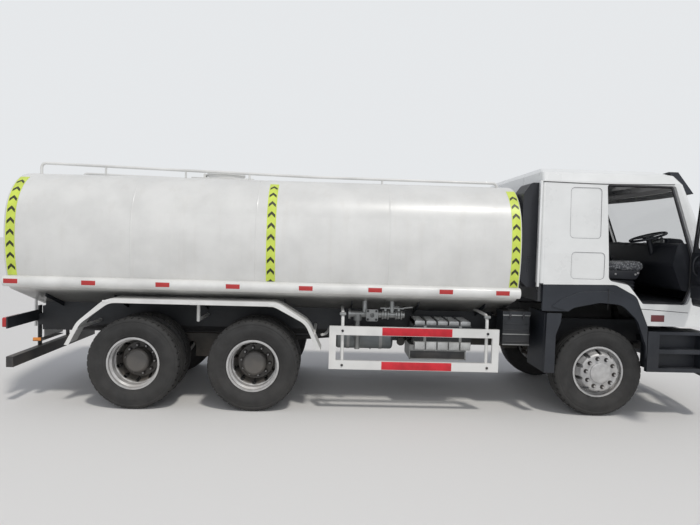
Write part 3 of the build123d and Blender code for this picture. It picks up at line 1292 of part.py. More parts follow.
def side_guards():
    """Gives the box-section guard frames between the axles with their round hangers."""
    x0, x1 = SIDE_GUARD_REAR_X, SIDE_GUARD_FRONT_X
    z0, z1 = SIDE_GUARD_LOW, SIDE_GUARD_HIGH
    y1 = SIDE_GUARD_OUTER_Y
    y0 = y1 - SIDE_GUARD_DEPTH
    tube_x, tube_z = SIDE_GUARD_TUBE_X, SIDE_GUARD_TUBE_Z
    shape = block(x0, x1, y0, y1, z0, z1)
    shape -= block(x0 + tube_x, x1 - tube_x, y0 - 1, y1 + 1, z0 + tube_z, z1 - tube_z)
    hanger_y = y0 - HANGER_RADIUS + HANGER_BITE
    for x in HANGER_XS:
        path = [(x, hanger_y, z0 + 20), (x, hanger_y, HANGER_TOP), (x, RAIL_OUTER_Y, HANGER_TOP)]
        shape += pipe(path, HANGER_RADIUS, HANGER_BEND) - tank_prism(x - 40, x + 40, 0)
    return both_sides(shape)


def silencer():
    """Gives the silencer box with its ribbed shields and the dark tray below it."""
    x0, x1 = SILENCER_X
    y0, y1 = SILENCER_Y
    z0, z1 = SILENCER_Z
    shape = block(x0, x1, y0, y1, z0 + 60, z1 - 50)
    pitch = (x1 - x0) / SILENCER_RIBS
    for index in range(SILENCER_RIBS):
        left = x0 + index * pitch + SILENCER_RIB_GAP / 2
        right = left + pitch - SILENCER_RIB_GAP
        shape += block(left, right, y0 + 20, y1 - 10, z1 - 50, z1)
        shape += block(left, right, y1, y1 + 25, z0 + 10, z0 + 100)
    shape += block(x0 - 50, x1 - 60, y0, y1, z0 - SILENCER_TRAY_DROP, z0 + 60)
    for x in (x0 + 190, x1 - 190):
        shape += block(x - 40, x + 40, RAIL_OUTER_Y, y0, RAIL_BOTTOM + 20, RAIL_BOTTOM + 120)
    return other_side(shape)


def fuel_tank():
    """Gives the fuel tank on the left rail with its straps and filler."""
    x0, x1 = FUEL_TANK_X
    y0, y1 = FUEL_TANK_Y
    z0, z1 = FUEL_TANK_Z
    shape = block(x0, x1, y0, y1, z0, z1)
    shape = fillet(shape.edges().filter_by(Axis.X), 90)
    for x in (x0 + 250, x1 - 250):
        shape += block(x - 30, x + 30, RAIL_OUTER_Y, y0 + 60, RAIL_BOTTOM + 20, RAIL_TOP - 60)
    shape += rod((x1 - 180, y1 - 200, z1 - 5), (x1 - 180, y1 - 200, z1 + 45), 55)
    return shape


def air_tanks():
    """Gives the air reservoirs behind the right guard with their brackets on the rail."""
    x0, x1 = AIR_TANK_X
    tank = rod((x0, AIR_TANK_Y, AIR_TANK_Z), (x1, AIR_TANK_Y, AIR_TANK_Z), AIR_TANK_RADIUS)
    tank = fillet(tank.edges().filter_by(GeomType.CIRCLE), 35)
    for x in (x0 + 150, x1 - 150):
        tank += block(x - 25, x + 25, RAIL_OUTER_Y, AIR_TANK_Y - 60, AIR_TANK_Z + 20, AIR_TANK_Z + 80)
    return other_side(tank)


def battery_box():
    """Gives the battery box behind the cab on the right, with its lid and bracket."""
    x0, x1 = BATTERY_X
    y0, y1 = BATTERY_Y
    z0, z1 = BATTERY_Z
    shape = block(x0, x1, y0, y1, z0, z1 - 40) + block(x0 - 8, x1 + 8, y0 - 8, y1 + 8, z1 - 40, z1)
    shape += block(x0 + 60, x1 - 60, RAIL_OUTER_Y, y0, z0 + 30, z0 + 110)
    return other_side(shape)


def outlet_pipes():
    """Gives the outlet header on the right with its down pipe, square flange and two valves."""
    y, z = OUTLET_Y, OUTLET_Z
    r = OUTLET_PIPE_RADIUS
    header = rod((-2935, y, z), (-2271, y, z), r)
    header += rod((-2940, y, z), (-2915, y, z), r + 22)
    header += rod((-2828, y, z), (-2828, y, 690), r - 8)
    header += rod((-2828, y, z - 75), (-2828, y, z), r + 14)
    face_y = y + r + 45
    half = OUTLET_FLANGE_HALF
    x = OUTLET_FLANGE_X
    header += rod((x, y, z), (x, face_y, z), r)
    flange = block(x - half, x + half, face_y, face_y + OUTLET_FLANGE_THICKNESS, z - half, z + half)
    header += fillet(flange.edges().filter_by(Axis.Y), 18)
    bore_end = face_y + OUTLET_FLANGE_THICKNESS
    header -= rod((x, bore_end - OUTLET_BORE_DEPTH, z), (x, bore_end + 1, z), OUTLET_BORE_RADIUS)
    for index in range(4):
        angle = math.radians(45 + 90 * index)
        bx = x + OUTLET_BOLT_CIRCLE / 2 * math.cos(angle)
        bz = z + OUTLET_BOLT_CIRCLE / 2 * math.sin(angle)
        header -= rod((bx, face_y - 1, bz), (bx, bore_end + 1, bz), OUTLET_BOLT_RADIUS)
    for x_valve in (-2500, -2340):
        for shift in (-32, 32):
            header += rod((x_valve + shift - 9, y, z), (x_valve + shift + 9, y, z), r + 20)
        header += rod((x_valve, y, z), (x_valve, y, z + 75), 14)
        header += block(x_valve - 60, x_valve + 60, y - 12, y + 12, z + 70, z + 84)
    for x_riser in (-2745, -2420):
        header += rod((x_riser, y, z), (x_riser, y - 120, TANK_WIDEST_Z), r - 6)
    header -= tank_prism(-3000, -2000, 0)
    return other_side(header)


def rear_bar():
    """Gives the rear underrun bar on its drop plates with the lamp brackets."""
    x = FRAME_REAR_X
    z = REAR_BAR_Z
    half = REAR_BAR_HALF_WIDTH
    shape = block(x - 60, x + 20, -half, half, z - 60, z + 60)
    for side in (1, -1):
        shape += block(x - 60, x - 44, side * RAIL_INNER_Y, side * RAIL_OUTER_Y, z + 60, RAIL_TOP)
        shape += block(x - 44, x, side * RAIL_INNER_Y, side * RAIL_OUTER_Y, RAIL_BOTTOM + 60, RAIL_BOTTOM + 200)
        shape += block(x - 60, x - 44, side * RAIL_OUTER_Y, side * half, 880, 1010)
    return shape


def tail_lamps():
    """Gives the tail lamp units on the rear bar's brackets."""
    x = FRAME_REAR_X - 60
    lamp = block(x - 55, x, 760, 1130, 890, 1000)
    return both_sides(fillet(lamp.edges().filter_by(Axis.X), 20))


def save_chassis():
    """Writes the nodes that stand on the frame."""
    save("frame", frame())
    save("front_axle", front_axle())
    save("leaf_springs", springs())
    save("rear_axles", [rear_axle(x) for x in REAR_AXLE_XS])
    save("drive_shafts", drive_shafts())
    save("engine", engine())
    save("bumper", bumper())
    save("headlamps", headlamps())
    save("steps", steps())
    save("wheel_flaps", wheel_flaps())
    save("knuckle_left", knuckle())
    save("knuckle_right", other_side(knuckle()))
    save("tie_rod", tie_rod())
    save("tank_shell", tank_shell())
    save("tank_cradle", tank_cradle())
    save("side_rails", side_rails())
    save("handrails", handrails())
    save("manhole_neck", manhole_neck())
    save("manhole_lid", manhole_lid())
    save("mudguards", mudguards())
    save("side_guards", side_guards())
    save("silencer", silencer())
    save("fuel_tank", fuel_tank())
    save("air_tanks", air_tanks())
    save("battery_box", battery_box())
    save("outlet_pipes", outlet_pipes())
    save("rear_bar", rear_bar())
    save("tail_lamps", tail_lamps())


save_wheels()
save_chassis()
save_cab()
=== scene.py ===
"""Looks of the tanker truck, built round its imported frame."""

from __future__ import annotations

import logging
import math
import random
from dataclasses import dataclass
from enum import Enum
from typing import Iterable, Sequence, Union

import bmesh
import bpy
from mathutils import Matrix, Vector


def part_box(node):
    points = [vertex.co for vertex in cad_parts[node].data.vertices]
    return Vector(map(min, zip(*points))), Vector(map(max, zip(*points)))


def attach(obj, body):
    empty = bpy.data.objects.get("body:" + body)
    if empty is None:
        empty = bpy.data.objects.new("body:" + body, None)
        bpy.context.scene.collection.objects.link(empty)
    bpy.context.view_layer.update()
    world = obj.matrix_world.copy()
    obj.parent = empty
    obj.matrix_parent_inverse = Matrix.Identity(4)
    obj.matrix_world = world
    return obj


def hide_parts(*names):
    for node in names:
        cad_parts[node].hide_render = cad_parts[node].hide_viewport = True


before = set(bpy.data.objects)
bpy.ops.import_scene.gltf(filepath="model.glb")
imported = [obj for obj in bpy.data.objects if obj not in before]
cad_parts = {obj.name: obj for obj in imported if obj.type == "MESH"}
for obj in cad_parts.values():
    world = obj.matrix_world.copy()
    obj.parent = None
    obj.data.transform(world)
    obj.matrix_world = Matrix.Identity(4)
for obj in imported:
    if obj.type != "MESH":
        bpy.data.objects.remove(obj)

LOG = logging.getLogger("tanker")
Colour = tuple[float, float, float]
Point = tuple[float, float, float]
Operand = Union["Wire", float]
Piece = bpy.types.Object
Rows = Sequence[tuple[float, float, float]]
MIRRORED = Matrix.Scale(-1, 4, (0, 1, 0))


class Side(Enum):
    """The two sides of the truck, with the sign of Y."""

    LEFT = 1
    RIGHT = -1

    @property
    def word(self) -> str:
        """The side's name as the frame writes it."""
        return self.name.lower()


class Wire:
    """One value or colour in a material, usable in sums, products and powers."""

    def __init__(self, sheet: "Sheet", socket: bpy.types.NodeSocket) -> None:
        """Wraps an output socket of the sheet."""
        self.sheet = sheet
        self.socket = socket

    def _math(self, operation: str, other: Operand = 0.0, swapped: bool = False,
              clamp: bool = False) -> "Wire":
        """Adds one Math node on this value and another."""
        first, second = (other, self) if swapped else (self, other)
        settings = {"operation": operation, "use_clamp": clamp}
        return self.sheet.node("ShaderNodeMath", settings, {0: first, 1: second})

    def __add__(self, other: Operand) -> "Wire":
        """This value plus the other."""
        return self._math("ADD", other)

    def __radd__(self, other: Operand) -> "Wire":
        """The other value plus this one."""
        return self._math("ADD", other, swapped=True)

    def __sub__(self, other: Operand) -> "Wire":
        """This value less the other."""
        return self._math("SUBTRACT", other)

    def __rsub__(self, other: Operand) -> "Wire":
        """The other value less this one."""
        return self._math("SUBTRACT", other, swapped=True)

    def __mul__(self, other: Operand) -> "Wire":
        """This value times the other."""
        return self._math("MULTIPLY", other)

    def __rmul__(self, other: Operand) -> "Wire":
        """The other value times this one."""
        return self._math("MULTIPLY", other, swapped=True)

    def __pow__(self, other: Operand) -> "Wire":
        """This value to a power."""
        return self._math("POWER", other)

    def clamped(self) -> "Wire":
        """This value held between 0 and 1."""
        return self._math("ADD", 0.0, clamp=True)

    def ramp(self, low: float, high: float) -> "Wire":
        """Rises smoothly from 0 at low to 1 at high, or falls where low is the higher."""
        values = {"Value": self, "From Min": low, "From Max": high}
        return self.sheet.node("ShaderNodeMapRange", {"interpolation_type": "SMOOTHSTEP"}, values)


class Sheet:
    """One material's node tree, with its Principled shader."""

    def __init__(self, name: str) -> None:
        """Starts an empty material of that name."""
        self.material = bpy.data.materials.new(name)
        self.material.use_nodes = True
        self.tree = self.material.node_tree
        self.shader = self.tree.nodes["Principled BSDF"]

    def node(self, kind: str, settings: dict | None = None, values: dict | None = None,
             output: int | str = 0) -> Wire:
        """Adds a node.

        Args:
            kind: The node's type.
            settings: Its properties, set first; "stops" gives a ramp's stops.
            values: Numbers, colours or wires for its sockets, by name or place.
            output: The name or place of the socket that is returned.

        Returns:
            The wire of that output.
        """
        made = self.tree.nodes.new(kind)
        for key, setting in (settings or {}).items():
            setattr(made, key, setting)
        for key, value in (values or {}).items():
            if isinstance(value, Wire):
                self.tree.links.new(value.socket, made.inputs[key])
            else:
                made.inputs[key].default_value = value
        return Wire(self, made.outputs[output])

    def place(self) -> Wire:
        """The point on the piece, in metres."""
        return self.node("ShaderNodeTexCoord", output="Object")

    def mapped(self, scale: Point, shift: Point = (0, 0, 0)) -> Wire:
        """The point on the piece, stretched and shifted."""
        return self.node("ShaderNodeMapping",
                         values={"Vector": self.place(), "Scale": scale, "Location": shift})

    def part(self, vector: Wire, axis: int) -> Wire:
        """One coordinate of a vector."""
        return self.node("ShaderNodeSeparateXYZ", values={"Vector": vector}, output=axis)

    def noise(self, scale: float, detail: float = 3.0, rough: float = 0.55,
              stretch: Point = (1, 1, 1)) -> Wire:
        """A cloudy value about one half."""
        values = {"Vector": self.mapped(stretch), "Scale": scale, "Detail": detail, "Roughness": rough}
        return self.node("ShaderNodeTexNoise", values=values, output="Fac")

    def cells(self, scale: float, feature: str = "F1", stretch: Point = (1, 1, 1)) -> Wire:
        """The distance to scattered points, or to the edges between them."""
        values = {"Vector": self.mapped(stretch), "Scale": scale}
        return self.node("ShaderNodeTexVoronoi", {"feature": feature}, values, output="Distance")

    def mix(self, share: Operand, first: Union[Wire, Colour], second: Union[Wire, Colour]) -> Wire:
        """A colour between two, the second where the share is 1."""
        def rgba(colour: Union[Wire, Colour]) -> Union[Wire, tuple[float, ...]]:
            """Gives a plain colour its fourth number."""
            return colour if isinstance(colour, Wire) else (*colour, 1.0)
        settings = {"data_type": "RGBA", "clamp_factor": True}
        return self.node("ShaderNodeMix", settings, {0: share, 6: rgba(first), 7: rgba(second)}, output=2)

    def upward(self) -> Wire:
        """How far the surface faces up, from -1 to 1."""
        return self.part(self.node("ShaderNodeNewGeometry", output="Normal"), 2)

    def height(self) -> Wire:
        """The height above the ground at rest."""
        return self.part(self.place(), 2)

    def facing(self, outward: Point) -> Wire:
        """How far the surface faces one way on the piece, from -1 to 1."""
        normal = self.node("ShaderNodeTexCoord", output="Normal")
        settings = {"operation": "DOT_PRODUCT"}
        return self.node("ShaderNodeVectorMath", settings, {0: normal, 1: outward}, "Value")

    def spread(self, centre_x: float, centre_z: float) -> Wire:
        """The distance from an axle along Y."""
        place = self.node("ShaderNodeMapping",
                          values={"Vector": self.place(), "Location": (-centre_x, 0, -centre_z),
                                                       "Scale": (1, 0, 1)})
        return self.node("ShaderNodeVectorMath", {"operation": "LENGTH"}, {0: place}, "Value")

    def bump(self, relief: Wire, depth: float, strength: float = 1.0, under: Wire | None = None) -> Wire:
        """A normal with that relief on it, of a depth in metres."""
        values = {"Height": relief, "Distance": depth, "Strength": strength}
        if under is not None:
            values["Normal"] = under
        return self.node("ShaderNodeBump", values=values, output="Normal")

    def set(self, **sockets: Union[Wire, float, Colour]) -> None:
        """Sets the shader's sockets, named with underscores for blanks."""
        for key, value in sockets.items():
            socket = self.shader.inputs[key.replace("_", " ")]
            if isinstance(value, Wire):
                self.tree.links.new(value.socket, socket)
            elif isinstance(value, tuple):
                socket.default_value = (*value, 1.0)[: len(socket.default_value)]
            else:
                socket.default_value = value


DUST: Colour = (0.36, 0.30, 0.23)


@dataclass(frozen=True)
class Coat:
    """A painted, moulded or bare surface with mottling, streaks, grain and dust."""

    name: str
    colour: Colour
    roughness: float = 0.4
    metallic: float = 0.0
    coat: float = 0.0
    mottle: float = 0.04
    mottle_scale: float = 2.5
    streaks: float = 0.0
    grain: float = 0.0
    grain_scale: float = 900.0
    waviness: float = 0.0
    dust: float = 0.15
    dust_top: float = 1.3
    dust_colour: Colour = DUST
    alpha: float = 1.0
    edge: float = 0.0
    crinkle: float = 0.0

    def base(self, sheet: Sheet, cloud: Wire) -> Wire:
        """The colour below the dust, a little darker and lighter in clouds."""
        dark = tuple(max(0.0, c * (1 - 2.2 * self.mottle) - 0.002) for c in self.colour)
        light = tuple(min(1.0, c * (1 + 1.4 * self.mottle) + 0.002) for c in self.colour)
        return sheet.mix(cloud.ramp(0.3, 0.7), dark, light)

    def material(self) -> bpy.types.Material:
        """Builds the material.

        Returns:
            The finished material.
        """
        sheet = Sheet(self.name)
        cloud = sheet.noise(self.mottle_scale, 5.0)
        base = self.base(sheet, cloud)
        low = sheet.height().ramp(self.dust_top, 0.1)
        patchy = sheet.noise(5.0, 6.0, 0.62).ramp(0.28, 0.72)
        lying = sheet.upward().ramp(0.35, 1.0)
        film = ((low * 0.75 + lying * 0.45) * (patchy * 0.75 + 0.25) * self.dust).clamped()
        if self.streaks:
            runs = sheet.noise(9.0, 4.0, 0.6, (1.0, 1.0, 0.06)).ramp(0.48, 0.72)
            film = (film + runs * self.streaks).clamped()
        sheet.set(Base_Color=sheet.mix(film, base, self.dust_colour))
        sheet.set(Roughness=(film * 0.45 + cloud * 0.08 + (self.roughness - 0.04)).clamped())
        sheet.set(Metallic=(1.0 - film) * self.metallic if self.metallic else 0.0)
        if self.coat:
            sheet.set(Coat_Weight=(1.0 - film) * self.coat, Coat_Roughness=0.08)
        if self.alpha < 1.0:
            alpha = film * 0.5 + self.alpha
            # Painted highlight: along thin fold lines the pale film turns more opaque, as shine on its
            # creases.
            if self.crinkle:
                folds = sheet.noise(22.0, 3.0, 0.6)
                alpha = alpha + folds.ramp(0.455, 0.50) * folds.ramp(0.545, 0.50) * 0.42
            sheet.set(Alpha=alpha.clamped())
        normal = None
        if self.edge:
            normal = sheet.node("ShaderNodeBevel", {"samples": 4}, {"Radius": self.edge}, "Normal")
        if self.waviness:
            normal = sheet.bump(sheet.noise(1.3, 2.0, 0.4, (0.8, 1.0, 1.0)), self.waviness, under=normal)
        if self.grain:
            normal = sheet.bump(sheet.noise(self.grain_scale, 2.0), self.grain, under=normal)
        if self.crinkle:
            normal = sheet.bump(sheet.cells(26.0, "DISTANCE_TO_EDGE").ramp(0.0, 0.12), self.crinkle,
                                under=normal)
        if normal is not None:
            sheet.set(Normal=normal)
        return sheet.material


@dataclass(frozen=True)
class Lined(Coat):
    """A painted panel with a dark lining on its inner face and, where named, painted shade below a height.
    """

    outward: Point = (0, 1, 0)
    lining: Colour = (0.060, 0.063, 0.070)
    # Painted shade: below this height the paint turns to this dark colour, where the wall lies in shadow.
    skirt: float = 0.0
    skirt_colour: Colour = (0.022, 0.025, 0.030)

    def base(self, sheet: Sheet, cloud: Wire) -> Wire:
        """The paint outside, the painted shade low down and the lining inside."""
        paint = super().base(sheet, cloud)
        facing = sheet.facing(self.outward)
        # Painted shade on the lower part of the panel.
        if self.skirt:
            paint = sheet.mix(sheet.height().ramp(self.skirt, self.skirt - 0.004), paint, self.skirt_colour)
        return sheet.mix(facing.ramp(-0.25, -0.55), paint, self.lining)


@dataclass(frozen=True)
class Grimy(Coat):
    """A paint darkened below a height: painted shade on the belly, with some road grime."""

    # Where the painted shade with grime starts, where it is full, and its colour.
    grime_top: float = 1.39
    grime_full: float = 1.27
    grime: Colour = (0.17, 0.17, 0.165)

    def base(self, sheet: Sheet, cloud: Wire) -> Wire:
        """The paint above and the painted shade with grime below, cloudy where they meet."""
        low = (sheet.height() + cloud * 0.05 - 0.025).ramp(self.grime_top, self.grime_full)
        return sheet.mix(low, super().base(sheet, cloud), self.grime)


@dataclass(frozen=True)
class Hubbed(Coat):
    """A wheel's paint, darker from the hub out to a radius: painted shade in the deep dish, with some grime.
    """

    centre_x: float = 0.0
    centre_z: float = 0.525
    hub_radius: float = 0.25
    # Painted shade with some grime in the deep dish round the hub.
    hub_colour: Colour = (0.085, 0.085, 0.085)

    def base(self, sheet: Sheet, cloud: Wire) -> Wire:
        """The rim's paint outside the hub's radius and the painted shade with grime inside it."""
        far = sheet.spread(self.centre_x, self.centre_z)
        return sheet.mix((far + cloud * 0.02).ramp(self.hub_radius + 0.02, self.hub_radius),
                         super().base(sheet, cloud),
                         self.hub_colour)


PANEL = dict(colour=(0.78, 0.79, 0.78), roughness=0.28, coat=0.5, mottle=0.02, dust=0.10, dust_top=1.5,
             waviness=0.002,
             edge=0.004)
RIM = dict(colour=(0.50, 0.50, 0.50), roughness=0.42, metallic=0.35, mottle=0.07, mottle_scale=14.0,
           grain=0.0003, dust=0.30,
           dust_top=1.2)


class Finish(Enum):
    """The truck's plain finishes."""

    CAB = Coat("cab_white", (0.78, 0.79, 0.78), 0.28, coat=0.5, mottle=0.02, dust=0.10, dust_top=1.5,
               waviness=0.002, edge=0.004)
    CAB_LEFT = Lined(**PANEL, name="cab_side_left", outward=(0, 1, 0))
    CAB_RIGHT = Lined(**PANEL, name="cab_side_right", outward=(0, -1, 0))
    CAB_FRONT = Lined(**PANEL, name="cab_front", outward=(1, 0, 0))
    # The rear wall below 1.56 m is painted dark as painted shade.
    CAB_BACK = Lined(**PANEL, name="cab_back", outward=(-1, 0, 0), skirt=1.56)
    CAB_ROOF = Lined(**PANEL, name="cab_roof", outward=(0, 0, 1), lining=(0.13, 0.135, 0.145))
    DOOR_LEFT = Lined(**PANEL, name="door_left", outward=(0, 1, 0))
    DOOR_RIGHT = Lined(**PANEL, name="door_right", outward=(0.985, -0.174, 0))
    # The tank's belly is darkened below the side rails: painted shade, with some grime.
    TANK = Grimy("tank_white", (0.70, 0.70, 0.68), 0.33, coat=0.25, mottle=0.03, streaks=0.07,
                 waviness=0.006, dust=0.16, dust_top=1.7)
    TRIM_WHITE = Coat("guard_white", (0.72, 0.72, 0.70), 0.38, coat=0.1, mottle=0.05, streaks=0.04,
                      dust=0.22, dust_top=1.2, edge=0.003)
    MOULDED = Coat("moulded_grey", (0.014, 0.018, 0.026), 0.50, mottle=0.08, grain=0.0004, dust=0.05,
                   dust_top=1.6, edge=0.006)
    # A dark grey for the door openings' lips, partly painted shade, and for the panel edges, painted shadow.
    LINING = Coat("door_lip", (0.11, 0.11, 0.12), 0.6, mottle=0.06, dust=0.08)
    TRIM = Coat("inner_trim", (0.016, 0.018, 0.024), 0.55, mottle=0.06, grain=0.0004, dust=0.03)
    CHASSIS = Coat("chassis_black", (0.014, 0.017, 0.022), 0.5, mottle=0.12, dust=0.30, dust_top=1.1,
                   edge=0.003)
    CAST = Coat("cast_dark", (0.028, 0.028, 0.028), 0.65, metallic=0.2, mottle=0.15, grain=0.0006,
                grain_scale=220.0, dust=0.5,
                dust_top=1.0)
    ZINC = Coat("zinc_grey", (0.30, 0.31, 0.31), 0.45, metallic=0.7, mottle=0.10, grain=0.0002, dust=0.3,
                dust_top=1.3)
    SHIELD = Coat("shield_foil", (0.52, 0.53, 0.53), 0.42, metallic=0.45, mottle=0.08, mottle_scale=9.0,
                  grain=0.0004,
                  grain_scale=120.0, dust=0.3, dust_top=1.3)
    ALLOY = Coat("dull_alloy", (0.16, 0.18, 0.19), 0.42, metallic=0.6, mottle=0.08, dust=0.4, dust_top=1.2)
    BOLT = Coat("dark_bolt", (0.05, 0.05, 0.055), 0.40, metallic=0.6, mottle=0.12, mottle_scale=30.0,
                dust=0.25, dust_top=1.2)
    WHEEL = Coat("wheel_silver", (0.50, 0.50, 0.50), 0.42, metallic=0.35, mottle=0.07, mottle_scale=14.0,
                 grain=0.0003, dust=0.28,
                 dust_top=1.2)
    # The rear rims are painted darker towards the hub: painted shade with some grime.
    RIM_SECOND = Hubbed(**RIM, name="rim_second_axle", centre_x=-4.025)
    RIM_THIRD = Hubbed(**RIM, name="rim_third_axle", centre_x=-5.375)
    CLOTH = Coat("seat_cloth", (0.030, 0.032, 0.040), 0.85, mottle=0.15, grain=0.0008, grain_scale=600.0,
                 dust=0.03)
    # The wrap's pale fold lines are painted highlight; its bumps are real creases.
    WRAP = Coat("clear_wrap", (0.66, 0.69, 0.72), 0.16, coat=0.5, mottle=0.04, dust=0.02, alpha=0.05,
                crinkle=0.004)
    RUBBER = Coat("tread_rubber", (0.020, 0.020, 0.020), 0.72, mottle=0.12, mottle_scale=7.0, grain=0.0003,
                  grain_scale=500.0,
                  dust=0.26, dust_top=1.25, dust_colour=(0.13, 0.12, 0.11))
    SEAL = Coat("seal_rubber", (0.012, 0.012, 0.013), 0.6, dust=0.08)
    GLASS = Coat("tinted_glass", (0.05, 0.08, 0.075), 0.06, coat=0.6, mottle=0.02, dust=0.05, alpha=0.20)
    LENS = Coat("lamp_lens", (0.70, 0.74, 0.76), 0.08, coat=0.8, mottle=0.02, dust=0.08, alpha=0.55)
    LAMP_RED = Coat("lamp_red", (0.27, 0.020, 0.032), 0.25, coat=0.5, mottle=0.08, dust=0.2)
    DULL_RED = Coat("dull_red", (0.15, 0.025, 0.028), 0.35, coat=0.2, mottle=0.10, dust=0.10)
    AMBER = Coat("lamp_amber", (0.75, 0.25, 0.02), 0.22, coat=0.6, mottle=0.08, dust=0.2)
    BAND_RED = Coat("band_red", (0.58, 0.010, 0.024), 0.42, mottle=0.10, mottle_scale=6.0, dust=0.07,
                    dust_top=1.1)
    BAND_EDGE = Coat("band_edge", (0.74, 0.74, 0.72), 0.4, mottle=0.04, dust=0.12)
    FILM = Coat("stripe_film", (0.62, 0.74, 0.10), 0.38, mottle=0.05, mottle_scale=7.0, dust=0.08,
                streaks=0.05)
    FILM_DARK = Coat("stripe_dark", (0.028, 0.032, 0.012), 0.42, mottle=0.10, dust=0.05)
    MIRROR = Coat("mirror_face", (0.75, 0.78, 0.80), 0.05, metallic=1.0, mottle=0.01, dust=0.03)

    def material(self) -> bpy.types.Material:
        """The finish's one material, built when first asked for."""
        return bpy.data.materials.get(self.value.name) or self.value.material()


class Bench:
    """Adds primitives and shapes them in edit mode, one piece at a time."""

    @staticmethod
    def clear() -> None:
        """Leaves edit mode and deselects everything."""
        active = bpy.context.view_layer.objects.active
        if active and active.mode != "OBJECT":
            bpy.ops.object.mode_set(mode="OBJECT")
        bpy.ops.object.select_all(action="DESELECT")

    @staticmethod
    def pick(*pieces: Piece) -> Piece:
        """Selects only these objects and makes the first one active."""
        Bench.clear()
        for piece in pieces:
            piece.select_set(True)
        bpy.context.view_layer.objects.active = pieces[0]
        return pieces[0]

    @staticmethod
    def added(name: str) -> Piece:
        """Names the primitive that was just added and applies its place."""
        piece = bpy.context.object
        piece.name = piece.data.name = name
        bpy.ops.object.transform_apply(location=True, rotation=True, scale=True)
        return piece

    @staticmethod
    def edit(piece: Piece) -> None:
        """Opens a piece in edit mode with all of it selected."""
        Bench.pick(piece)
        bpy.ops.object.mode_set(mode="EDIT")
        bpy.ops.mesh.select_all(action="SELECT")

    @staticmethod
    def tidy() -> None:
        """Merges doubles, turns the faces outwards and leaves edit mode."""
        bpy.ops.mesh.select_all(action="SELECT")
        bpy.ops.mesh.remove_doubles(threshold=0.00002)
        bpy.ops.mesh.normals_make_consistent(inside=False)
        bpy.ops.object.mode_set(mode="OBJECT")

    @staticmethod
    def line(name: str, points: Sequence[Point]) -> Piece:
        """Draws an open line by extruding one vertex, and stays in edit mode.

        Args:
            name: The piece's name.
            points: The points of the line, in metres.

        Returns:
            The piece, with its line selected.
        """
        Bench.clear()
        bpy.ops.mesh.primitive_plane_add(size=0.01, location=points[0])
        piece = Bench.added(name)
        bpy.ops.object.mode_set(mode="EDIT")
        bpy.ops.mesh.select_mode(type="VERT")
        bpy.ops.mesh.select_all(action="SELECT")
        bpy.ops.mesh.merge(type="CENTER")
        for first, second in zip(points, points[1:]):
            move = tuple(Vector(second) - Vector(first))
            bpy.ops.mesh.extrude_vertices_move(TRANSFORM_OT_translate={"value": move})
        bpy.ops.mesh.select_all(action="SELECT")
        return piece

    @staticmethod
    def spun(name: str, profile: Sequence[tuple[float, float]], centre: Point, steps: int,
             axis: Point = (0, 1, 0)) -> Piece:
        """Spins a profile about an axis.

        Args:
            name: The piece's name.
            profile: Rows of radius and distance along the axis.
            centre: The point where that distance is 0.
            steps: How many steps make the full turn.
            axis: The axis, along Y or Z or X.

        Returns:
            The closed piece.
        """
        along = Vector(axis)
        out = Vector((0, 0, 1)) if abs(along.z) < 0.5 else Vector((1, 0, 0))
        points = [tuple(Vector(centre) + out * radius + along * far) for radius, far in profile]
        piece = Bench.line(name, points)
        bpy.ops.mesh.spin(steps=steps, angle=math.tau, center=centre, axis=axis)
        Bench.tidy()
        return piece

    @staticmethod
    def slab(name: str, low: Point, high: Point, bevel: float = 0.0, segments: int = 2) -> Piece:
        """Adds a box between two corners, with its edges rounded."""
        Bench.clear()
        middle = (Vector(low) + Vector(high)) / 2
        size = [abs(b - a) for a, b in zip(low, high)]
        bpy.ops.mesh.primitive_cube_add(size=1.0, location=middle, scale=size)
        piece = Bench.added(name)
        if bevel:
            Bench.modify(piece, "BEVEL", width=bevel, segments=segments, limit_method="ANGLE")
        return piece

    @staticmethod
    def prism(name: str, outline: Sequence[Point], depth: Point, bevel: float = 0.0) -> Piece:
        """Fills an outline and extrudes it, with its edges rounded."""
        piece = Bench.line(name, outline)
        bpy.ops.mesh.edge_face_add()
        bpy.ops.mesh.extrude_region_move(TRANSFORM_OT_translate={"value": depth})
        Bench.tidy()
        if bevel:
            Bench.modify(piece, "BEVEL", width=bevel, segments=2, limit_method="ANGLE")
        return piece

    @staticmethod
    def tube(name: str, points: Sequence[Point], radius: float, sides: int = 2, smooth: bool = True,
             closed: bool = False) -> Piece:
        """Draws a round tube along a route and makes it a mesh.

        Args:
            name: The piece's name.
            points: The points of the route.
            radius: The tube's radius.
            sides: How fine its section is.
            smooth: Whether the route bends smoothly between its points.
            closed: Whether the route ends where it starts.

        Returns:
            The tube.
        """
        Bench.clear()
        bpy.ops.curve.primitive_nurbs_path_add()
        piece = Bench.added(name)
        curve = piece.data
        curve.splines.clear()
        spline = curve.splines.new("NURBS" if smooth else "POLY")
        spline.points.add(len(points) - 1)
        for point, place in zip(spline.points, points):
            point.co = (*place, 1.0)
        spline.use_cyclic_u = closed
        if smooth:
            spline.order_u = 3
            spline.use_endpoint_u = True
        curve.resolution_u = 6
        curve.bevel_depth = radius
        curve.bevel_resolution = sides
        curve.use_fill_caps = not closed
        bpy.ops.object.convert(target="MESH")
        return bpy.context.object

    @staticmethod
    def slabs(name: str, rows: Sequence[tuple[Point, Point]], bevel: float = 0.002) -> Piece:
        """Adds several boxes with rounded edges and joins them into one piece."""
        return Bench.joined(name,
                            [Bench.slab(f"{name}_{i}", low, high, bevel)
                             for i, (low, high) in enumerate(rows)])

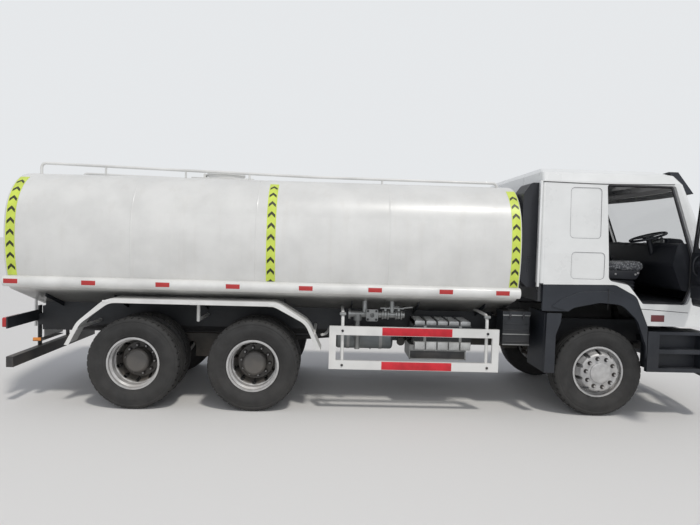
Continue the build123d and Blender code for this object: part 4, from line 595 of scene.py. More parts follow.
    @staticmethod
    def bolts(name: str, places: Sequence[Point], axis: Point, size: float = 0.012) -> Piece:
        """Adds a hexagon bolt head with its washer at every place, pointing along an axis."""
        Bench.clear()
        bpy.ops.mesh.primitive_cylinder_add(vertices=6, radius=size, depth=size * 1.1,
                                            location=(0, 0, size * 0.75))
        head = Bench.modify(Bench.added("bolt_head"), "BEVEL", width=size * 0.12, segments=1,
                            limit_method="ANGLE")
        rows = [(size * 0.1, size * 0.24), (size * 1.35, size * 0.24), (size * 1.42, size * 0.1),
                (size * 1.42, -size * 0.4)]
        washer = Bench.spun("bolt_washer", rows, (0, 0, 0), 14, (0, 0, 1))
        turn = Vector((0, 0, 1)).rotation_difference(Vector(axis)).to_matrix().to_4x4()
        return Bench.copies(Bench.joined(name, [head, washer]),
                            [Matrix.Translation(place) @ turn for place in places])

    @staticmethod
    def strap(name: str, ring: Sequence[tuple[float, float]], x0: float, x1: float,
              thickness: float) -> Piece:
        """Lays a flat band round an outline of Y and Z, between two places along X."""
        piece = Bench.line(name, [(x0, y, z) for y, z in ring])
        bpy.ops.mesh.edge_face_add()
        bpy.ops.mesh.delete(type="ONLY_FACE")
        bpy.ops.mesh.select_all(action="SELECT")
        bpy.ops.mesh.extrude_region_move(TRANSFORM_OT_translate={"value": (x1 - x0, 0, 0)})
        Bench.tidy()
        return Bench.modify(piece, "SOLIDIFY", thickness=thickness, offset=0.0)

    @staticmethod
    def modify(piece: Piece, kind: str, **settings: object) -> Piece:
        """Adds one modifier and applies it."""
        Bench.pick(piece)
        modifier = piece.modifiers.new(kind.lower(), kind)
        for key, value in settings.items():
            setattr(modifier, key, value)
        bpy.ops.object.modifier_apply(modifier=modifier.name)
        return piece

    @staticmethod
    def copies(piece: Piece, places: Iterable[Matrix]) -> Piece:
        """Copies a piece to each place and joins the copies in its stead."""
        made = []
        for place in places:
            twin = piece.copy()
            twin.data = piece.data.copy()
            twin.data.transform(place)
            if place.determinant() < 0:
                twin.data.flip_normals()
            bpy.context.scene.collection.objects.link(twin)
            made.append(twin)
        name = piece.name
        bpy.data.objects.remove(piece)
        return Bench.joined(name, made)

    @staticmethod
    def joined(name: str, pieces: Sequence[Piece]) -> Piece:
        """Joins pieces into one of that name."""
        Bench.pick(*pieces)
        if len(pieces) > 1:
            bpy.ops.object.join()
        piece = bpy.context.object
        piece.name = piece.data.name = name
        return piece

    @staticmethod
    def done(piece: Piece, finish: Finish, body: str, slot: str = "", smooth: float = 40.0,
             replaces: Sequence[str] = ()) -> Piece:
        """Shades a piece, gives it its finish and lets it ride on its body.

        Args:
            piece: The piece, in place.
            finish: Its finish.
            body: The body that carries it.
            slot: The record's material slot, if it has one; not used.
            smooth: The angle under which edges look smooth, in degrees.
            replaces: The nodes it stands for.

        Returns:
            The same piece.
        """
        Bench.pick(piece)
        bpy.ops.object.shade_smooth_by_angle(angle=math.radians(smooth))
        piece.data.materials.clear()
        piece.data.materials.append(finish.material())
        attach(piece, body)
        if replaces:
            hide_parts(*replaces)
        LOG.info("%s rides on %s with %d faces", piece.name, body, len(piece.data.polygons))
        return piece


def rounded(rows: Rows, steps: int = 5) -> list[tuple[float, float]]:
    """Rounds the corners of an outline.

    Args:
        rows: Rows of two coordinates and the corner's radius.
        steps: How many straight steps make a corner's arc.

    Returns:
        The outline's points, with arcs at its corners.
    """
    points = []
    for index, (across, up, radius) in enumerate(rows):
        corner = Vector((across, up))
        back = (Vector(rows[index - 1][:2]) - corner).normalized()
        ahead = (Vector(rows[(index + 1) % len(rows)][:2]) - corner).normalized()
        if radius <= 0:
            points.append((across, up))
            continue
        half = back.angle(ahead) / 2
        centre = corner + (back + ahead).normalized() * radius / math.sin(half)
        first = corner + back * radius / math.tan(half) - centre
        last = corner + ahead * radius / math.tan(half) - centre
        points += [tuple(centre + first.slerp(last, step / steps) * radius) for step in range(steps + 1)]
    return points


@dataclass
class Tank:
    """The tank: a shell of arcs with dished heads, seams, stripes and reflectors."""

    rear_x: float = -6.822
    front_x: float = -0.981
    half_width: float = 1.200
    half_height: float = 0.825
    middle_z: float = 1.897
    arcs: tuple[tuple[float, float, float, float, float], ...] = (
        (0.0, -3.028, 5.750, 90.0, 83.1325), (0.617, 2.095, 0.590, 83.1325, 9.9751),
        (-0.378, 1.920, 1.600, 9.9751, -19.5027), (1.0360, 1.4192, 0.100, -19.5027, -71.8))
    belly: tuple[float, float] = (0.300, 1.072)
    seam_xs: tuple[float, ...] = (-5.42, -4.02, -2.50)
    film_width: float = 0.104
    film_top: float = 0.90
    film_foot: float = 2.153
    films: tuple[tuple[float, float, int], ...] = ((-6.743, 2.016, 9), (-3.849, 2.124, 10),
                                                   (-1.050, 2.061, 9))
    chevron_pitch: float = 0.130
    chevron_half: float = 0.041
    chevron_rise: float = 0.042
    chevron_thick: float = 0.038
    reflector_xs: tuple[float, ...] = (-6.724, -5.868, -5.046, -4.262, -3.441, -2.655, -1.843, -1.192)

    def point(self, length: float, lift: float = 0.0) -> tuple[float, float]:
        """Y and Z of the skin at an arc length down from the crown's middle, lifted off it."""
        y, z, radius, start, end = self.arcs[0]
        for y, z, radius, start, end in self.arcs:
            whole = radius * math.radians(start - end)
            if length <= whole:
                break
            length -= whole
        else:
            length = whole
        angle = math.radians(start) - length / radius
        return y + (radius + lift) * math.cos(angle), z + (radius + lift) * math.sin(angle)

    def outline(self) -> list[tuple[float, float]]:
        """The whole section, once round."""
        half, gone = [], 0.0
        for count, (_, _, radius, start, end) in zip((6, 16, 12, 5), self.arcs):
            whole = radius * math.radians(start - end)
            half += [self.point(gone + whole * step / count) for step in range(count)]
            gone += whole
        half += [self.point(gone), self.belly]
        return half + [(-y, z) for y, z in reversed(half[1:])]

    def barrel(self) -> None:
        """Models the shell from one outline, extruded and resized ring by ring."""
        dish = [(0.03, 0.88), (0.032, 0.65), (0.038, 0.40), (0.048, 0.22), (0.052, 0.16), (0.030, 0.085),
                (0.004, 0.06),
                (0.0, 0.035), (0.0, 0.025), (0.004, 0.010), (0.013, 0.003), (0.030, 0.0), (0.0305, -0.0006),
                (0.0745, -0.0006),
                (0.075, 0.0)]
        rows = [(self.rear_x + x, inset) for x, inset in dish]
        for x in self.seam_xs:
            rows += [(x + step, inset)
                     for step, inset in ((-0.012, 0), (-0.006, 0), (-0.003, -0.0016), (0.003, -0.0016),
                                                           (0.006, 0), (0.012, 0))]
        rows += [(self.front_x - x, inset) for x, inset in reversed(dish)]
        centre = (0.0, 0.0, self.middle_z)

        def shares(inset: float) -> tuple[float, float, float]:
            """The size of a ring that lies that far inside the skin."""
            if inset > 0.165:
                return (1.0, 1.0 - inset, 1.0 - inset)
            return (1.0, 1.0 - inset / self.half_width, 1.0 - inset / self.half_height)

        first = shares(rows[0][1])
        ring = [(rows[0][0], y * first[1], self.middle_z + (z - self.middle_z) * first[2])
                for y, z in self.outline()]
        piece = Bench.line("tank_barrel", ring)
        bpy.ops.mesh.edge_face_add()
        for (x0, low), (x1, high) in zip(rows, rows[1:]):
            old, new = shares(low), shares(high)
            bpy.ops.mesh.extrude_region_move(TRANSFORM_OT_translate={"value": (x1 - x0, 0, 0)})
            bpy.ops.transform.resize(value=(1, new[1] / old[1], new[2] / old[2]), center_override=centre)
        Bench.tidy()
        Bench.done(piece, Finish.TANK, "chassis", "tank_paint", 32.0, ["tank_shell"])

    def film(self, name: str, x: float) -> Piece:
        """Lays one strip of film down the skin, from the shoulder to the rail."""
        steps = 30
        lengths = [self.film_top + (self.film_foot - self.film_top) * step / steps
                   for step in range(steps + 1)]
        piece = Bench.line(name,
                           [(x - self.film_width / 2, *self.point(length, 0.0014)) for length in lengths])
        bpy.ops.mesh.extrude_region_move(TRANSFORM_OT_translate={"value": (self.film_width, 0, 0)})
        Bench.tidy()
        return piece

    def chevrons(self, name: str, x: float, foot: float, count: int) -> Piece:
        """Lays the dark arrow heads on one strip, each of two slanted strokes."""
        strokes = []
        for index in range(count):
            apex = foot - index * self.chevron_pitch
            for side in (-1, 1):
                shares = (0.0, 0.5, 1.0)
                rows = [(share, apex + self.chevron_rise * share) for share in shares]
                rows += [(share, apex + self.chevron_rise * share + self.chevron_thick)
                         for share in reversed(shares)]
                ring = [(x + side * self.chevron_half * share,
                         *self.point(min(length, self.film_foot), 0.0026))
                        for share, length in rows]
                piece = Bench.line(f"{name}_{index}_{side}", ring)
                bpy.ops.mesh.edge_face_add()
                bpy.ops.object.mode_set(mode="OBJECT")
                strokes.append(piece)
        piece = Bench.joined(name, strokes)
        Bench.edit(piece)
        Bench.tidy()
        return piece

    def stripes(self) -> None:
        """Adds the high-visibility strips to both sides of the tank."""
        films, marks = [], []
        for index, (x, foot, count) in enumerate(self.films):
            films.append(Bench.copies(self.film(f"film_{index}", x), [Matrix.Identity(4), MIRRORED]))
            marks.append(Bench.copies(self.chevrons(f"marks_{index}", x, foot, count),
                                      [Matrix.Identity(4), MIRRORED]))
        film = Bench.joined("stripe_films", films)
        arrows = Bench.joined("stripe_arrows", marks)
        self.face_out(film)
        self.face_out(arrows)
        Bench.done(film, Finish.FILM, "chassis")
        Bench.done(arrows, Finish.FILM_DARK, "chassis")

    def face_out(self, piece: Piece) -> None:
        """Turns every open strip so that it faces away from the tank."""
        Bench.clear()
        mesh = bmesh.new()
        mesh.from_mesh(piece.data)
        mesh.normal_update()
        wrong = []
        for face in mesh.faces:
            middle = face.calc_center_median()
            if face.normal.y * middle.y + face.normal.z * (middle.z - self.middle_z) < 0:
                wrong.append(face)
        bmesh.ops.reverse_faces(mesh, faces=wrong)
        mesh.to_mesh(piece.data)
        mesh.free()

    def reflectors(self) -> None:
        """Adds the red reflectors with their pale edges along both side rails."""
        spots = [Matrix.Translation((x, 1.2452, 1.430)) for x in self.reflector_xs]
        spots += [MIRRORED @ spot for spot in spots]
        plate = Bench.slab("rail_plates", (-0.086, -0.016, -0.032), (0.086, 0.0006, 0.032), 0.002)
        face = Bench.slab("rail_reflectors", (-0.078, -0.010, -0.026), (0.078, 0.0022, 0.026), 0.0015)
        Bench.done(Bench.copies(plate, spots), Finish.BAND_EDGE, "chassis")
        Bench.done(Bench.copies(face, spots), Finish.LAMP_RED, "chassis", "lamp_red")

    def build(self) -> None:
        """Builds the tank's pieces in order."""
        self.barrel()
        self.stripes()
        self.reflectors()


@dataclass
class Wheels:
    """The tyres with their tread, and the nuts and caps of the wheels."""

    axle_z: float = 0.525
    front_y: float = 1.011
    rear_y: float = 0.915
    offset: float = 0.175
    rear_xs: tuple[float, float] = (-4.025, -5.375)
    bolt_circle: float = 0.1675
    steps: int = 168
    groove: float = 0.013

    def profile(self) -> list[tuple[float, float]]:
        """The tyre's section from the outer bead over the tread to the inner bead."""
        side = [
            (0.300, 0.1165), (0.312, 0.126), (0.322, 0.1305), (0.330, 0.1305), (0.334, 0.1335),
            (0.345, 0.1375),
            (0.362, 0.1425), (0.385, 0.1475), (0.405, 0.1490), (0.425, 0.1480), (0.429, 0.1460),
            (0.447, 0.1445),
            (0.463, 0.1420), (0.467, 0.1395), (0.476, 0.1390), (0.480, 0.1405), (0.491, 0.1370),
            (0.505, 0.1300),
            (0.5135, 0.1225), (0.5165, 0.1165), (0.5185, 0.100), (0.5195, 0.082),
        ]
        tread = []
        for middle, half in ((0.076, 0.006), (0.027, 0.006)):
            crown = 0.5245 - (middle / 0.118) ** 2 * 0.0085
            tread += [(crown, middle + half), (crown - self.groove, middle + half - 0.002),
                      (crown - self.groove, middle - half + 0.002), (crown + 0.0004, middle - half)]
        upper = side + tread
        return upper + [(r, -y) for r, y in reversed(upper)]

    def tyre(self, name: str) -> Piece:
        """Models one tyre about the origin, with notches cut into its shoulders.

        Args:
            name: The piece's name.

        Returns:
            The tyre, its axle along Y.
        """
        piece = Bench.spun(name, self.profile(), (0, 0, 0), self.steps)
        Bench.edit(piece)
        bpy.ops.mesh.select_mode(type="FACE")
        bpy.ops.mesh.select_all(action="DESELECT")
        mesh = bmesh.from_edit_mesh(piece.data)
        for face in mesh.faces:
            middle = face.calc_center_median()
            turn = math.atan2(middle.x, middle.z) / math.tau * self.steps
            far = math.hypot(middle.x, middle.z)
            notch = int(math.floor(turn)) % 4 == (0 if middle.y > 0 else 2)
            face.select = notch and far > 0.498 and 0.085 < abs(middle.y) < 0.134
        bmesh.update_edit_mesh(piece.data)
        bpy.ops.mesh.inset(thickness=0.0012, depth=-0.010)
        Bench.tidy()
        return piece

    def tyres(self) -> None:
        """Puts a tyre on every rim, two on each rear hub."""
        single = self.tyre("tyre_master")
        for side in Side:
            spot = Matrix.Translation((0, side.value * self.front_y, self.axle_z))
            self.put(single, [spot], f"tread_front_{side.word}", f"wheel_front_{side.word}",
                     f"tyre_front_{side.word}")
            for row, x in enumerate(self.rear_xs, start=2):
                spots = [Matrix.Translation((x, side.value * (self.rear_y + out * self.offset), self.axle_z))
                         @ Matrix.Rotation(math.radians(1.7 * out), 4, "Y") for out in (1, -1)]
                name = f"axle{row}_{side.word}"
                self.put(single, spots, f"tread_{name}", f"wheels_{name}", f"tyres_{name}")
        bpy.data.objects.remove(single)

    def put(self, single: Piece, spots: list[Matrix], name: str, body: str, node: str) -> None:
        """Copies the tyre to its places and lets it stand for the node."""
        twin = single.copy()
        twin.data = single.data.copy()
        bpy.context.scene.collection.objects.link(twin)
        twin.name = name
        Bench.done(Bench.copies(twin, spots), Finish.RUBBER, body, "tyre", 38.0, [node])

    def nut(self) -> Piece:
        """Models one wheel nut on its washer, pointing along +Y from the origin."""
        Bench.clear()
        bpy.ops.mesh.primitive_cylinder_add(vertices=6, radius=0.0185, depth=0.024, location=(0, 0.016, 0),
                                            rotation=(math.pi / 2, 0, 0))
        nut = Bench.modify(Bench.added("nut_body"), "BEVEL", width=0.002, segments=2, limit_method="ANGLE")
        washer = Bench.spun("nut_washer", [(0.001, 0.005), (0.0245, 0.005), (0.026, 0.002), (0.026, -0.001)],
                            (0, 0, 0), 20)
        return Bench.joined("nut", [nut, washer])

    def stud(self) -> Piece:
        """Models the bright end of one stud, pointing along +Y from the origin."""
        return Bench.spun("stud", [(0.001, 0.038), (0.0095, 0.038), (0.0115, 0.035), (0.0115, 0.024)],
                          (0, 0, 0), 12)

    def nuts(self) -> None:
        """Adds ten nuts and studs to every wheel."""
        for side in Side:
            turn = Matrix.Identity(4) if side is Side.LEFT else MIRRORED
            spots = [("front", 0.0, self.front_y + self.offset)]
            spots += [(f"axle{row}", x, self.rear_y + 0.0142) for row, x in enumerate(self.rear_xs, start=2)]
            for word, x, y in spots:
                places = []
                for index in range(10):
                    spin = Matrix.Rotation(math.radians(36 * index + 24), 4, "Y")
                    hub = turn @ Matrix.Translation((x, y, self.axle_z))
                    places.append(hub @ spin @ Matrix.Translation((0, 0, self.bolt_circle)))
                body = f"wheel_front_{side.word}" if word == "front" else f"wheels_{word}_{side.word}"
                for maker, finish in ((self.nut, Finish.BOLT), (self.stud, Finish.WHEEL)):
                    piece = maker()
                    piece.name = f"{piece.name}s_{word}_{side.word}"
                    Bench.done(Bench.copies(piece, places), finish, body, "", 30.0)

    def hubs(self) -> None:
        """Adds the hub caps' bolts, the drive shafts' flange bolts and the valves."""
        for side in Side:
            turn = Matrix.Identity(4) if side is Side.LEFT else MIRRORED
            spots = [("front", 0.0, self.front_y + self.offset - 0.003, 0.104, 8, 0.006)]
            spots += [(f"axle{row}", x, self.rear_y + 0.118, 0.112, 10, 0.010)
                      for row, x in enumerate(self.rear_xs, start=2)]
            for word, x, y, circle, count, size in spots:
                hub = Matrix.Translation((x, y, self.axle_z))
                ring = []
                for index in range(count):
                    spin = Matrix.Rotation(math.tau * index / count, 4, "Y")
                    ring.append(tuple(hub @ spin @ Vector((0, 0, circle))))
                bolts = Bench.bolts(f"hub_bolts_{word}_{side.word}", ring, (0, 1, 0), size)
                valve = Bench.tube("valve",
                                   [(x + 0.235, y - 0.05, self.axle_z), (x + 0.238, y - 0.02, self.axle_z),
                                             (x + 0.246, y, self.axle_z)], 0.005)
                piece = Bench.copies(Bench.joined(bolts.name, [bolts, valve]), [turn])
                body = f"wheel_front_{side.word}" if word == "front" else f"wheels_{word}_{side.word}"
                Bench.done(piece, Finish.BOLT, body, "", 30.0)

    def build(self) -> None:
        """Builds the wheels' pieces in order."""
        self.tyres()
        self.nuts()
        self.hubs()


CAB_ROWS = ((1.095, 1.240, 1.250, 0.150), (1.905, 1.240, 1.240, 0.145), (2.735, 1.208, 0.880, 0.130),
            (2.835, 1.172, 0.790, 0.120), (2.888, 1.040, 0.640, 0.100))
DOOR_OPENING: Rows = ((-0.020, 2.712, 0.035), (0.030, 1.605, 0.060), (0.265, 1.562, 0.090),
                      (0.440, 1.347, 0.040),
                      (0.960, 1.347, 0.060), (1.036, 1.540, 0.120), (1.036, 1.900, 0.220),
                      (0.775, 2.712, 0.035))
DOOR_WINDOW: Rows = ((0.055, 2.640, 0.050), (0.085, 1.990, 0.060), (0.888, 1.990, 0.060),
                     (0.706, 2.640, 0.050))
HINGE = Matrix.Translation((1.032, 1.240, 0.0))
HUNG = HINGE @ Matrix.Rotation(math.radians(-80), 4, "Z") @ HINGE.inverted()
WALL = 0.045


def cab_form(z: float) -> tuple[float, float, float]:
    """The cab's half width, front corner and front bulge at a height."""
    for low, high in zip(CAB_ROWS, CAB_ROWS[1:]):
        if z <= high[0]:
            break
    share = (z - low[0]) / (high[0] - low[0])
    return tuple(a + (b - a) * share for a, b in zip(low[1:], high[1:]))


def side_ring(rows: Rows, inset: float, steps: int = 5) -> list[Point]:
    """An outline on the cab's left side, that far inside its skin."""
    return [(x, cab_form(z)[0] - inset, z) for x, z in rounded(rows, steps)]


def shrunk(rows: Rows, inset: float) -> list[tuple[float, float, float]]:
    """An outline drawn in towards its middle by a distance."""
    middle = sum((Vector(row[:2]) for row in rows), Vector((0, 0))) / len(rows)
    made = []
    for across, up, radius in rows:
        away = Vector((across, up)) - middle
        away -= away.normalized() * inset * 1.25
        made.append((middle.x + away.x, middle.y + away.y, max(0.01, radius - inset * 0.5)))
    return made


@dataclass
class Cab:
    """What is fastened to the cab's outside: seals, gutters, reflectors, wipers and louvres, with lines of
    painted shadow round the panels and under the gutters.
    """

    screen: Rows = ((-1.055, 1.945, 0.090), (1.055, 1.945, 0.090), (0.975, 2.685, 0.090),
                    (-0.975, 2.685, 0.090))
    gutter: tuple[tuple[float, float], ...] = ((-0.772, 2.730), (-0.400, 2.723), (-0.053, 2.718),
                                               (0.400, 2.727), (0.762, 2.738))
    groove: tuple[tuple[float, float], ...] = ((0.409, 1.290), (0.975, 1.257))
    panels: tuple[tuple[float, float, float, float], ...] = ((-0.440, -0.082, 2.085, 2.665),
                                                             (-0.415, -0.028, 1.618, 1.925))
    louvre_x: tuple[float, float] = (-0.884, -0.852)
    louvre_z: tuple[float, float] = (1.675, 1.873)

    def front(self, y: float, z: float, out: float = 0.0) -> Point:
        """A point on the cab's front at that place, lifted off it."""
        half, corner, bulge = cab_form(z)
        return corner + bulge * (1 - (y / half) ** 2) + out, y, z

    def seals(self) -> None:
        """Adds the door openings' grey lips, partly painted shade, and the door openings' and the
        windscreen's rubber.
        """
        # The grey lip on each opening's return is grey paint, darkened further as painted shade.
        lip = Bench.tube("opening_lips", side_ring(DOOR_OPENING, 0.058), 0.012, 1, False, True)
        bead = Bench.tube("opening_seals", side_ring(shrunk(DOOR_OPENING, 0.012), 0.074), 0.010, 1, False,
                          True)
        Bench.done(Bench.copies(lip, [Matrix.Identity(4), MIRRORED]), Finish.LINING, "cab")
        Bench.done(Bench.copies(bead, [Matrix.Identity(4), MIRRORED]), Finish.SEAL, "cab")
        ring = []
        corners = rounded(self.screen, 5)
        for (y0, z0), (y1, z1) in zip(corners, corners[1:] + corners[:1]):
            count = max(1, round(math.dist((y0, z0), (y1, z1)) / 0.12))
            ring += [self.front(y0 + (y1 - y0) * i / count, z0 + (z1 - z0) * i / count, 0.002)
                     for i in range(count)]
        Bench.done(Bench.tube("windscreen_seal", ring, 0.011, 2, False, True), Finish.SEAL, "cab")

    def trim(self) -> None:
        """Adds the gutters, corner strips, sill grooves and reflectors, with painted shadow lines under the
        gutters and round the pressed panels.
        """
        gutter = Bench.tube("roof_gutters", [(x, cab_form(z)[0] + 0.003, z) for x, z in self.gutter], 0.007)
        strip = Bench.slab("corner_strips", (-0.800, 1.190, 1.514), (-0.7735, 1.234, 2.730), 0.006)
        white = Bench.joined("cab_strips", [gutter, strip])
        Bench.done(Bench.copies(white, [Matrix.Identity(4), MIRRORED]), Finish.CAB, "cab", "cab_paint")
        # The sill grooves, and a dark line under each gutter as painted shadow.
        lines = [Bench.tube("groove", [(x, cab_form(z)[0] - 0.0005, z) for x, z in self.groove], 0.0035, 1,
                            False),
                 Bench.tube("gutter_shade", [(x, cab_form(z)[0] + 0.002, z - 0.010) for x, z in self.gutter],
                            0.004, 1)]
        Bench.done(Bench.copies(Bench.joined("cab_grooves", lines), [Matrix.Identity(4), MIRRORED]),
                   Finish.SEAL, "cab")
        # Dark lines round the pressed panels: painted shadow of their recessed edges.
        edges = []
        for x0, x1, z0, z1 in self.panels:
            rows = ((x0, z0, 0.045), (x1, z0, 0.045), (x1, z1, 0.045), (x0, z1, 0.045))
            edges.append(Bench.tube("panel_edge", side_ring(rows, 0.0015), 0.0022, 1, False, True))
        panel_shadow_lines = Bench.joined("panel_edges", edges)
        Bench.done(Bench.copies(panel_shadow_lines, [Matrix.Identity(4), MIRRORED]), Finish.LINING, "cab")
        plate = Bench.slab("cab_reflectors", (0.542, 1.236, 1.146), (0.698, 1.2445, 1.223), 0.003)
        Bench.done(Bench.copies(plate, [Matrix.Identity(4), MIRRORED]), Finish.DULL_RED, "cab", "lamp_red")

    def arch_seams(self) -> None:
        """Adds the joint line of each wheel arch."""
        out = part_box("arches")[1][1]
        seam = Bench.tube("arch_seams", [(0.030, out - 0.0005, 1.508), (0.030, out - 0.0005, 1.275)], 0.0035,
                          1, False)
        Bench.done(Bench.copies(seam, [Matrix.Identity(4), MIRRORED]), Finish.SEAL, "cab")

    def louvres(self) -> None:
        """Adds the slats on the air intake's outer side."""
        x0, x1 = self.louvre_x
        count = 9
        slats = []
        for index in range(count):
            z = self.louvre_z[0] + (self.louvre_z[1] - self.louvre_z[0]) * (index + 0.5) / count
            slats.append(((x0, -1.1045, z - 0.005), (x1, -1.098, z + 0.004)))
        Bench.done(Bench.slabs("intake_louvres", slats, 0.0015), Finish.TRIM, "cab")

    def wipers(self) -> None:
        """Adds the wiper arms and blades at the windscreen's foot."""
        parts = []
        for index, y in enumerate((-0.92, -0.32, 0.28)):
            foot, tip = self.front(y, 1.935, 0.014), self.front(y + 0.42, 2.060, 0.014)
            hub = (foot[0] - 0.012, foot[1], foot[2])
            parts.append(Bench.spun(f"wiper_hub_{index}", [(0.001, 0.020), (0.018, 0.018), (0.022, 0.0)],
                                    hub, 16, (1, 0, 0)))
            parts.append(Bench.tube(f"wiper_arm_{index}", [foot, self.front(y + 0.20, 1.990, 0.022), tip],
                                    0.007, 1))
            blade = [self.front(y + 0.10 + 0.16 * step, 2.015 + 0.012 * step, 0.009) for step in range(5)]
            parts.append(Bench.tube(f"wiper_blade_{index}", blade, 0.008, 1))
        Bench.done(Bench.joined("wipers", parts), Finish.SEAL, "cab")

    def build(self) -> None:
        """Builds the cab's pieces in order."""
        self.seals()
        self.trim()
        self.arch_seams()
        self.louvres()
        self.wipers()


@dataclass
class Doors:
    """The doors' inner trim, seals and handles, modelled shut. The right door then hangs open."""

    trim_outline: Rows = ((0.048, 1.955, 0.02), (0.070, 1.660, 0.05), (0.300, 1.604, 0.07),
                          (0.470, 1.395, 0.04),
                          (0.925, 1.395, 0.06), (0.992, 1.560, 0.10), (0.992, 1.955, 0.02))
    mirror_y: tuple[float, float] = (1.382, 1.558)
    mirror_z: tuple[float, float] = (1.975, 2.345)

    def hang(self, piece: Piece, finish: Finish, slot: str = "", smooth: float = 40.0) -> None:
        """Copies a piece of the shut left door to both doors, the right one open."""
        for side in Side:
            twin = piece.copy()
            twin.data = piece.data.copy()
            twin.name = f"{piece.name}_{side.word}"
            bpy.context.scene.collection.objects.link(twin)
            place = Matrix.Identity(4) if side is Side.LEFT else MIRRORED @ HUNG
            Bench.done(Bench.copies(twin, [place]), finish, f"door_{side.word}", slot, smooth)
        bpy.data.objects.remove(piece)

    def seals(self) -> None:
        """Adds the rubber round the windows and along the doors' inner edges."""
        outer = Bench.tube("window_outer", side_ring(DOOR_WINDOW, -0.001), 0.007, 1, False, True)
        inner = Bench.tube("window_inner", side_ring(DOOR_WINDOW, WALL + 0.001), 0.009, 1, False, True)
        edge = Bench.tube("door_edge", side_ring(shrunk(DOOR_OPENING, 0.040), WALL + 0.003), 0.008, 1, False,
                          True)
        self.hang(Bench.joined("door_seals", [outer, inner, edge]), Finish.SEAL)

    def trims(self) -> None:
        """Adds the inner panels with their armrests, pockets and handles."""
        face = 1.240 - WALL
        outline = [(x, face + 0.001, z) for x, z in rounded(self.trim_outline)]
        panel = Bench.prism("panel", outline, (0, -0.016, 0), 0.004)
        raised = [(x, face - 0.012, z) for x, z in rounded(shrunk(self.trim_outline, 0.07))]
        field = Bench.prism("field", raised, (0, -0.012, 0), 0.006)
        rest = Bench.slab("armrest", (0.220, face - 0.085, 1.800), (0.720, face - 0.012, 1.862), 0.022, 4)
        pocket = Bench.slab("pocket", (0.470, face - 0.052, 1.440), (0.900, face - 0.010, 1.590), 0.014, 3)
        grab = Bench.tube("grab",
                          [(0.800, face - 0.010, 1.700), (0.800, face - 0.070, 1.715),
                           (0.800, face - 0.070, 1.905),
                                   (0.800, face - 0.010, 1.920)], 0.012, 2)
        speaker = Bench.spun("speaker",
                             [(0.001, 0.006), (0.070, 0.006), (0.078, 0.010), (0.086, 0.006),
                              (0.090, -0.002)],
                             (0.720, face - 0.022, 1.700), 28, (0, -1, 0))
        self.hang(Bench.joined("door_trims", [panel, field, rest, pocket, grab, speaker]), Finish.TRIM,
                  "trim_plastic")
        latch = Bench.slab("latch", (0.300, face - 0.034, 1.905), (0.400, face - 0.020, 1.930), 0.005)
        winder = Bench.tube("winder",
                            [(0.520, face - 0.020, 1.730), (0.520, face - 0.050, 1.730),
                             (0.590, face - 0.055, 1.700),
                                       (0.592, face - 0.075, 1.700)], 0.008, 1)
        self.hang(Bench.joined("door_handles", [latch, winder]), Finish.BOLT)
        lock = Bench.slabs("door_locks", [((-0.012, face + 0.004, 1.840), (0.004, face + 0.036, 1.930))],
                           0.003)
        self.hang(lock, Finish.BOLT)

    def handles(self) -> None:
        """Adds the outer handles with their bowls."""
        bowl = Bench.slab("bowl", (0.060, 1.2385, 1.845), (0.230, 1.2415, 1.925), 0.001)
        lever = Bench.slab("lever", (0.075, 1.238, 1.872), (0.215, 1.256, 1.902), 0.007, 3)
        self.hang(Bench.joined("door_outer_handles", [bowl, lever]), Finish.MOULDED, "dark_plastic")

    def mirrors(self) -> None:
        """Adds the mirror glass in its rim, on the heads' rear faces."""
        low, high = self.mirror_z
        y0, y1 = self.mirror_y
        glass = Bench.slabs("mirror_glass",
                            [((0.9665, y0 + 0.012, low + 0.105), (0.972, y1 - 0.012, high - 0.010)),
                                             ((0.9665, y0 + 0.012, low + 0.010),
                                              (0.972, y1 - 0.012, low + 0.090))], 0.001)
        self.hang(glass, Finish.MIRROR)
        clamp = Bench.bolts("mirror_bolts", [(0.930, 1.236, 2.020), (0.842, 1.224, 2.300)], (0, 1, 0), 0.010)
        self.hang(clamp, Finish.BOLT)

    def build(self) -> None:
        """Builds the doors' pieces in order."""
        self.seals()
        self.trims()
        self.handles()
        self.mirrors()


